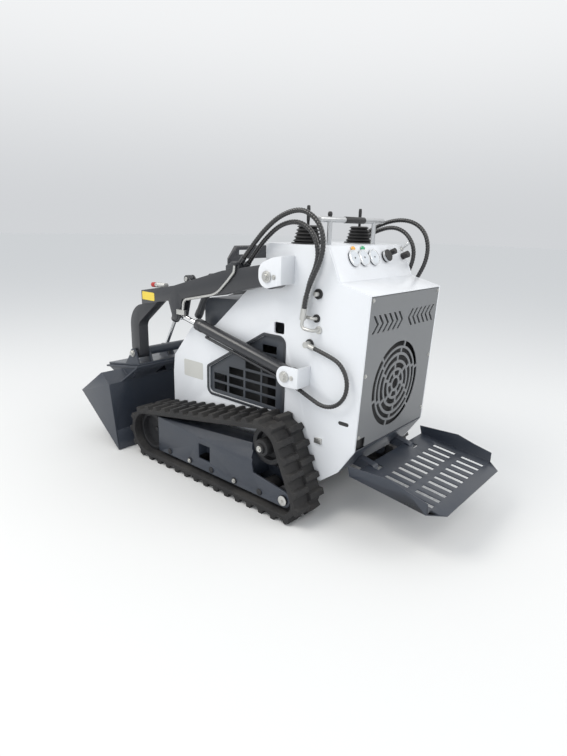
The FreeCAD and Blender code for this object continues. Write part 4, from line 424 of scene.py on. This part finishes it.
def slot_loops():
    """Outlines of the rear plate and its slots; (side place, height up the plate)."""
    notch_y, notch_up = PLATE_HALF - NOTCH_WIDE, PLATE_FOOT + NOTCH_TALL
    loops = [[(-PLATE_HALF, PLATE_FOOT), (notch_y, PLATE_FOOT), (notch_y, notch_up), (PLATE_HALF, notch_up),
              (PLATE_HALF, PLATE_TOP), (-PLATE_HALF, PLATE_TOP)]]
    angles = [math.tau * k / HUB_STEPS for k in range(HUB_STEPS)]
    loops.append([(FAN_Y + HUB_RADIUS * math.cos(angle), FAN_UP + HUB_RADIUS * math.sin(angle)) for angle in angles])
    spread = 360 / RING_SLOTS
    for inner, outer in FAN_RINGS:
        for k in range(RING_SLOTS):
            start = math.radians(spread * k + SWIRL_RATE * inner + SWIRL_START)
            end = start + math.radians(spread) - RING_BAR / inner
            angles = [start + (end - start) * n / RING_STEPS for n in range(RING_STEPS + 1)]
            arc = [(outer, angle) for angle in angles] + [(inner, angle) for angle in angles[::-1]]
            loops.append([(FAN_Y + reach * math.cos(angle), FAN_UP + reach * math.sin(angle))
                          for reach, angle in arc])
    for side in (1, -1):
        for k in range(CHEVRONS_A_SIDE):
            y = CHEVRON_FIRST + CHEVRON_PITCH * k
            loops.append([(side * (y + along), CHEVRON_UP + above) for along, above in CHEVRON])
    return loops


def add_rear_plate():
    """The fan guard plate, cut from one filled outline and stood up on its slope."""
    outline = bpy.data.curves.new("rear_plate", "CURVE")
    outline.dimensions = "2D"
    outline.fill_mode = "BOTH"
    outline.extrude = PLATE_HALF_THICK
    for loop in slot_loops():
        spline = outline.splines.new("POLY")
        spline.points.add(len(loop) - 1)
        for point, (y, above) in zip(spline.points, loop):
            point.co = (y, above, 0, 1)
        spline.use_cyclic_u = True
    holder = bpy.data.objects.new("rear_plate", outline)
    mesh = bpy.data.meshes.new_from_object(holder)
    bpy.data.objects.remove(holder)
    bpy.data.curves.remove(outline)
    up = Vector(PLATE_SLOPE).normalized()
    inward = Vector((up.z, 0, -up.x))
    turn = Matrix((Vector((0, 1, 0)), up, inward)).transposed().to_4x4()
    mesh.transform(Matrix.Translation(Vector(PLATE_PLACE) + inward * PLATE_INWARD) @ turn)
    work = bmesh.new()
    work.from_mesh(mesh)
    bmesh.ops.remove_doubles(work, verts=work.verts, dist=WELD_REACH)
    bmesh.ops.recalc_face_normals(work, faces=work.faces)
    work.to_mesh(mesh)
    work.free()
    piece = add_mesh("rear_plate", mesh, MATERIALS["panel_grey"], "chassis")
    for face in mesh.polygons:
        face.use_smooth = False
    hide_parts("rear_panel")


def dress_nodes():
    """Dresses every CAD node in its finish."""
    for finish, nodes in NODE_FINISH.items():
        for node in nodes:
            dress_node(node, finish)


def smooth_line(name, points):
    """Points along the NURBS line that a route's control points give."""
    curve = bpy.data.curves.new(name, "CURVE")
    curve.dimensions = "3D"
    curve.resolution_u = 32
    spline = curve.splines.new("NURBS")
    spline.points.add(len(points) - 1)
    for point, place in zip(spline.points, points):
        point.co = (*place, 1)
    spline.order_u = 3
    spline.use_endpoint_u = True
    holder = bpy.data.objects.new(name, curve)
    mesh = bpy.data.meshes.new_from_object(holder)
    line = [vertex.co.copy() for vertex in mesh.vertices]
    bpy.data.meshes.remove(mesh)
    bpy.data.objects.remove(holder)
    bpy.data.curves.remove(curve)
    return line


def even_steps(line, step):
    """The line's points again, an even step apart."""
    far = [0.0]
    for start, end in zip(line, line[1:]):
        far.append(far[-1] + (end - start).length)
    count = max(2, round(far[-1] / step))
    spots = []
    k = 0
    for number in range(count + 1):
        want = far[-1] * number / count
        while k < len(line) - 2 and far[k + 1] < want:
            k += 1
        run = max(far[k + 1] - far[k], 1e-9)
        spots.append(line[k].lerp(line[k + 1], min(1.0, (want - far[k]) / run)))
    return spots, far[-1]


def guarded_tube(name, line, radius, rise, pitch, around=18):
    """A tube with the raised spiral of a hose guard; closed at both ends."""
    spots, total = even_steps(line, pitch / 7)
    work = bmesh.new()
    ahead = (spots[1] - spots[0]).normalized()
    across = ahead.orthogonal().normalized()
    rings = []
    for number, spot in enumerate(spots):
        near = spots[max(0, number - 1)]
        far = spots[min(len(spots) - 1, number + 1)]
        turned = (far - near).normalized()
        across = (across - turned * across.dot(turned)).normalized()
        beside = turned.cross(across)
        place = total * number / (len(spots) - 1)
        ring = []
        for k in range(around):
            angle = math.tau * k / around
            wave = 0.5 + 0.5 * math.cos(angle - math.tau * place / pitch)
            reach = radius + rise * wave ** 1.6
            ring.append(work.verts.new(spot + (across * math.cos(angle) + beside * math.sin(angle)) * reach))
        rings.append(ring)
    for before, after in zip(rings, rings[1:]):
        for k in range(around):
            work.faces.new((before[k], before[k - 1], after[k - 1], after[k]))
    work.faces.new(rings[0])
    work.faces.new(rings[-1][::-1])
    mesh = outward_mesh(work, name)
    for face in mesh.polygons:
        face.use_smooth = len(face.vertices) == 4
    return mesh


def add_hose(name, points, radius, node):
    """A guarded hose whose curved route runs between two bodies, as one fixed mesh."""
    line = smooth_line(name, points)
    mesh = guarded_tube(name, line, radius - GUARD_UNDER, GUARD_RISE, GUARD_PITCH)
    piece = in_scene(name, mesh)
    mesh.materials.append(MATERIALS["hose_guard"])
    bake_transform(piece)
    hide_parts(node)


def mirrored(point, side):
    """The point on the left side, or its mirror image on the right."""
    x, y, z = point
    return x, side * y, z


def add_hoses():
    """The hoses over the boom's pivots and those to the lift cylinders."""
    for name, (side, length, route) in BOOM_HOSES.items():
        points = [mirrored(point, side) for point in route]
        add_hose(name, points, BOOM_HOSE_RADIUS,
                 "boom_hoses")
    for side, tag, node in ((1, "l", "lift_hose_left"), (-1, "r", "lift_hose_right")):
        points = [mirrored(point, side) for point in LIFT_HOSE]
        add_hose("guard_of_" + node, points, LIFT_HOSE_RADIUS,
                 node)


def lathed(name, profile, place, facing, material, body, around=40, closed=False):
    """A solid of revolution; profile holds (radius, height) along the facing direction."""
    work = bmesh.new()
    turn = Vector((0, 0, 1)).rotation_difference(Vector(facing)).to_matrix()
    rings = []
    for radius, height in profile:
        angles = [math.tau * k / around for k in range(around)] if radius else [0]
        spots = [Vector((radius * math.cos(angle), radius * math.sin(angle), height)) for angle in angles]
        rings.append([work.verts.new(Vector(place) + turn @ spot) for spot in spots])
    pairs = list(zip(rings, rings[1:]))
    if closed:
        pairs.append((rings[-1], rings[0]))
    for low, high in pairs:
        for k in range(around):
            corners = [low[k - 1], low[k]] if len(low) > 1 else low[:]
            corners += [high[k], high[k - 1]] if len(high) > 1 else high[:]
            work.faces.new(corners)
    mesh = outward_mesh(work, name)
    for face in mesh.polygons:
        face.use_smooth = True
    mesh.set_sharp_from_angle(angle=math.radians(LATHED_SHARP_ANGLE))
    add_mesh(name, mesh, MATERIALS[material], body)


def on_console(y, share, out=0.0):
    """A point on the console's sloping face, or out from it."""
    return CONSOLE_FOOT + CONSOLE_RISE * share + Vector(CONSOLE_OUT) * out + Vector((0, y, 0))


def add_instruments():
    """Bezels and blank dials, two lamps, the switch's ring, a toggle lever, and the bar's sleeve and knob."""
    for k, y in enumerate(GAUGE_YS):
        for label, profile, lift, finish, around, closed in (
                ("bezel", BEZEL, 0.0056, "chrome", 56, True), ("dial", DIAL, 0.0088, "dial_pale", 56, False),
                ("dial_hub", DIAL_HUB, 0.0098, "black_plastic", 24, False)):
            lathed(f"{label}_{k}", profile, on_console(y, GAUGE_SHARE, lift), CONSOLE_OUT, finish, "chassis", around,
                   closed)
    lathed("switch_ring", SWITCH_RING, on_console(*SWITCH_PLACE, 0.0080), CONSOLE_OUT, "bar_silver", "chassis", 48,
           True)
    for label, y, finish in LAMPS:
        lathed(label, LAMP_DOME, on_console(y, LAMP_SHARE, 0.0030), CONSOLE_OUT, finish, "chassis", 32)
    lathed("toggle_nut", TOGGLE_NUT, on_console(*TOGGLE_PLACE), CONSOLE_OUT, "zinc", "chassis", 6)
    lathed("toggle_lever", TOGGLE_LEVER, on_console(*TOGGLE_PLACE, 0.0060), (-0.62, -0.30, 0.72), "bar_silver",
           "chassis", 20)
    lathed("bar_sleeve", BAR_SLEEVE, (-0.385, -0.084, 1.246), (0, 1, 0), "black_plastic", "chassis", 36)
    lathed("bar_knob", BAR_KNOB, (-0.385, 0.171, 1.2565), (0, 0, 1), "black_plastic", "chassis", 28)


def add_turned_trims():
    """Grommets on the side plates, covers of the drive hubs and caps of the rear idlers."""
    for k, (side, x, z, inner, outer) in enumerate(GROMMETS):
        ring = ((inner, 0.0), (outer, 0.0), (outer, 0.0052), (outer - 0.0016, 0.0068), (inner, 0.0068))
        lathed(f"grommet_{k}", ring, (x, side * SIDE_FACE_Y, z), (0, side, 0), "black_plastic", "chassis", 40, True)
    for side, tag in ((1, "left"), (-1, "right")):
        lathed("drive_hub_" + tag, DRIVE_HUB, (-0.294, side * 0.420, 0.300), (0, side, 0), "wheel_iron", "chassis", 48)
        lathed("idler_cap_" + tag, IDLER_CAP, (-0.421, side * 0.464, 0.098), (0, side, 0), "zinc", "chassis", 40)


def rounded_plate(name, x_range, z_range, y, thick, radius, material, body):
    """A thin plate with round corners, seated on a face across y."""
    (x_low, x_high), (z_low, z_high) = x_range, z_range
    outline = []
    for cx, cz, first in ((x_high - radius, z_high - radius, 0), (x_low + radius, z_high - radius, 90),
                          (x_low + radius, z_low + radius, 180), (x_high - radius, z_low + radius, 270)):
        for k in range(7):
            angle = math.radians(first + 15 * k)
            outline.append((cx + radius * math.cos(angle), cz + radius * math.sin(angle)))
    work = bmesh.new()
    near = [work.verts.new((x, y, z)) for x, z in outline]
    far = [work.verts.new((x, y + thick, z)) for x, z in outline]
    work.faces.new(near)
    work.faces.new(far[::-1])
    for k in range(len(outline)):
        work.faces.new((near[k - 1], near[k], far[k], far[k - 1]))
    add_mesh(name, outward_mesh(work, name), MATERIALS[material], body)


def add_plates():
    """Blank stickers, and a dark plate that paints the shade inside the side plate's slot."""
    for plate in PLATES:
        rounded_plate(*plate)


def bolt_places():
    """The bolts of each body: place, outward direction and size."""
    places = {"chassis": []}
    for side in (1, -1):
        for node, x, y, z, size in SIDE_BOLTS:
            body = BODY_OF[node] if node else "chassis"
            places.setdefault(body, []).append(((x, side * y, z), (0, side, 0), size))
        for x, z in REAR_BOLTS:
            places["chassis"].append(((x, side * REAR_BOLT_Y, z), REAR_BOLT_OUT, REAR_BOLT_SIZE))
    return places


def bolt_group():
    """A washer and a hexagon head on each point, turned to the point's outward direction."""
    group = bpy.data.node_groups.new("BoltHeads", "GeometryNodeTree")
    sockets = group.interface
    sockets.new_socket("Geometry", in_out="INPUT", socket_type="NodeSocketGeometry")
    for label, value in (("Head Radius", 0.0085), ("Head Height", 0.0065), ("Washer Radius", 0.0115),
                         ("Washer Height", 0.0018)):
        sockets.new_socket(label, in_out="INPUT", socket_type="NodeSocketFloat").default_value = value
    sockets.new_socket("Seed", in_out="INPUT", socket_type="NodeSocketInt").default_value = 5
    sockets.new_socket("Material", in_out="INPUT", socket_type="NodeSocketMaterial")
    sockets.new_socket("Geometry", in_out="OUTPUT", socket_type="NodeSocketGeometry")
    nodes = group.nodes
    put = nodes.new("NodeGroupInput")
    out = nodes.new("NodeGroupOutput")
    head = add_node(nodes, "GeometryNodeMeshCone", {"Vertices": 6})
    crown = add_node(nodes, "ShaderNodeMath", {1: 0.9}, operation="MULTIPLY")
    link(group, put.outputs["Head Radius"], crown.inputs[0])
    link(group, crown.outputs[0], head.inputs["Radius Top"])
    link(group, put.outputs["Head Radius"], head.inputs["Radius Bottom"])
    link(group, put.outputs["Head Height"], head.inputs["Depth"])
    washer = add_node(nodes, "GeometryNodeMeshCylinder", {"Vertices": 24})
    link(group, put.outputs["Washer Radius"], washer.inputs["Radius"])
    link(group, put.outputs["Washer Height"], washer.inputs["Depth"])
    half = add_node(nodes, "ShaderNodeMath", {1: 0.5}, operation="MULTIPLY")
    link(group, put.outputs["Washer Height"], half.inputs[0])
    raised = nodes.new("ShaderNodeCombineXYZ")
    link(group, half.outputs[0], raised.inputs["Z"])
    seated = nodes.new("GeometryNodeTransform")
    link(group, washer.outputs["Mesh"], seated.inputs["Geometry"])
    link(group, raised.outputs["Vector"], seated.inputs["Translation"])
    both = nodes.new("GeometryNodeJoinGeometry")
    link(group, head.outputs["Mesh"], both.inputs["Geometry"])
    link(group, seated.outputs["Geometry"], both.inputs["Geometry"])
    outward = add_node(nodes, "GeometryNodeInputNamedAttribute", {"Name": "outward"}, data_type="FLOAT_VECTOR")
    size = add_node(nodes, "GeometryNodeInputNamedAttribute", {"Name": "bolt_size"}, data_type="FLOAT")
    aim = add_node(nodes, "FunctionNodeAlignRotationToVector", axis="Z")
    link(group, outward.outputs["Attribute"], aim.inputs["Vector"])
    spin = add_node(nodes, "FunctionNodeRandomValue", {"Min": 0.0, "Max": 1.047}, data_type="FLOAT")
    link(group, put.outputs["Seed"], spin.inputs["Seed"])
    about = nodes.new("ShaderNodeCombineXYZ")
    link(group, spin.outputs[1], about.inputs["Z"])
    turned = add_node(nodes, "FunctionNodeRotateRotation", rotation_space="LOCAL")
    link(group, aim.outputs["Rotation"], turned.inputs["Rotation"])
    link(group, about.outputs["Vector"], turned.inputs["Rotate By"])
    copies = nodes.new("GeometryNodeInstanceOnPoints")
    link(group, put.outputs["Geometry"], copies.inputs["Points"])
    link(group, both.outputs["Geometry"], copies.inputs["Instance"])
    link(group, turned.outputs["Rotation"], copies.inputs["Rotation"])
    link(group, size.outputs["Attribute"], copies.inputs["Scale"])
    real = nodes.new("GeometryNodeRealizeInstances")
    link(group, copies.outputs["Instances"], real.inputs["Geometry"])
    dressed = nodes.new("GeometryNodeSetMaterial")
    link(group, real.outputs["Geometry"], dressed.inputs["Geometry"])
    link(group, put.outputs["Material"], dressed.inputs["Material"])
    link(group, dressed.outputs["Geometry"], out.inputs["Geometry"])
    return group


def add_bolts():
    """One mesh of bolts for each body."""
    group = bolt_group()
    for body, places in bolt_places().items():
        mesh = bpy.data.meshes.new("bolt_points")
        mesh.from_pydata([place for place, out, size in places], [], [])
        mesh.attributes.new("outward", "FLOAT_VECTOR", "POINT")
        mesh.attributes.new("bolt_size", "FLOAT", "POINT")
        for k, (place, out, size) in enumerate(places):
            mesh.attributes["outward"].data[k].vector = out
            mesh.attributes["bolt_size"].data[k].value = size
        piece = in_scene("bolts_of_" + body, mesh)
        heads = piece.modifiers.new("heads", "NODES")
        heads.node_group = group
        for item in group.interface.items_tree:
            if item.name == "Material":
                heads[item.identifier] = MATERIALS["zinc"]
        settle(piece)
        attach(piece, body)


def plain_material(name, colour, rough):
    """A matt surface for the floor."""
    material = bpy.data.materials.new(name)
    material.use_nodes = True
    shader = material.node_tree.nodes["Principled BSDF"]
    shader.inputs["Base Color"].default_value = (*colour, 1)
    shader.inputs["Roughness"].default_value = rough
    shader.inputs["Specular IOR Level"].default_value = 0.0
    return material


def set_backdrop():
    """An even light, with a pale gradient that the camera and mirrors see in its place."""
    world = bpy.data.worlds.new("studio")
    bpy.context.scene.world = world
    world.use_nodes = True
    tree = world.node_tree
    tree.nodes.clear()
    out = tree.nodes.new("ShaderNodeOutputWorld")
    shine = add_node(tree.nodes, "ShaderNodeBackground", {"Color": SKY_COLOUR, "Strength": SKY_STRENGTH})
    backdrop = add_node(tree.nodes, "ShaderNodeBackground", {"Strength": 1.0})
    gaze = tree.nodes.new("ShaderNodeTexCoord")
    height = tree.nodes.new("ShaderNodeSeparateXYZ")
    link(tree, gaze.outputs["Generated"], height.inputs["Vector"])
    rise = add_node(tree.nodes, "ShaderNodeMapRange", {"From Min": 0.0, "From Max": BACKDROP_RISE},
                    interpolation_type="SMOOTHSTEP")
    link(tree, height.outputs["Z"], rise.inputs["Value"])
    fade = add_node(tree.nodes, "ShaderNodeMix", {"A": BACKDROP_LOW, "B": BACKDROP_HIGH}, data_type="RGBA")
    link(tree, rise.outputs["Result"], fade.inputs["Factor"])
    link(tree, fade.outputs["Result"], backdrop.inputs["Color"])
    rays = tree.nodes.new("ShaderNodeLightPath")
    seen = add_node(tree.nodes, "ShaderNodeMath", operation="MAXIMUM")
    link(tree, rays.outputs["Is Camera Ray"], seen.inputs[0])
    link(tree, rays.outputs["Is Glossy Ray"], seen.inputs[1])
    mix = tree.nodes.new("ShaderNodeMixShader")
    link(tree, seen.outputs[0], mix.inputs["Fac"])
    link(tree, shine.outputs[0], mix.inputs[1])
    link(tree, backdrop.outputs[0], mix.inputs[2])
    link(tree, mix.outputs[0], out.inputs["Surface"])


def set_stage():
    """A pale floor, the backdrop and soft lamps."""
    mesh = bpy.data.meshes.new("floor")
    corners = [(x * FLOOR_HALF, y * FLOOR_HALF, 0) for x, y in ((-1, -1), (1, -1), (1, 1), (-1, 1))]
    mesh.from_pydata(corners, [], [(0, 1, 2, 3)])
    floor = in_scene("floor", mesh)
    mesh.materials.append(plain_material("pale_floor", FLOOR_COLOUR, FLOOR_ROUGHNESS))
    set_backdrop()
    for label, (place, power, size, tint) in STUDIO_LAMPS.items():
        lamp = bpy.data.lights.new(label, "AREA")
        lamp.energy = power
        lamp.size = size
        lamp.color = tint
        holder = in_scene(label, lamp)
        holder.location = place
        holder.rotation_euler = (Vector(LAMP_AIM) - Vector(place)).to_track_quat("-Z", "Y").to_euler()


def set_camera():
    """The camera of the reference view."""
    right, up = Vector(CAMERA_RIGHT), Vector(CAMERA_UP)
    back = right.cross(up)
    eye = bpy.data.cameras.new("view")
    eye.sensor_width = SENSOR
    eye.sensor_fit = "AUTO"
    eye.lens = LENS_PIXELS / PHOTO_PIXELS * SENSOR
    camera = in_scene("view", eye)
    turn = Matrix((right, up, back)).transposed().to_4x4()
    camera.matrix_world = Matrix.Translation(CAMERA_PLACE) @ turn
    bpy.context.scene.camera = camera


set_camera()
add_hoses()
dress_nodes()
add_rear_plate()
add_instruments()
add_turned_trims()
add_plates()
add_bolts()
set_stage()
bpy.context.scene.view_settings.view_transform = "Standard"
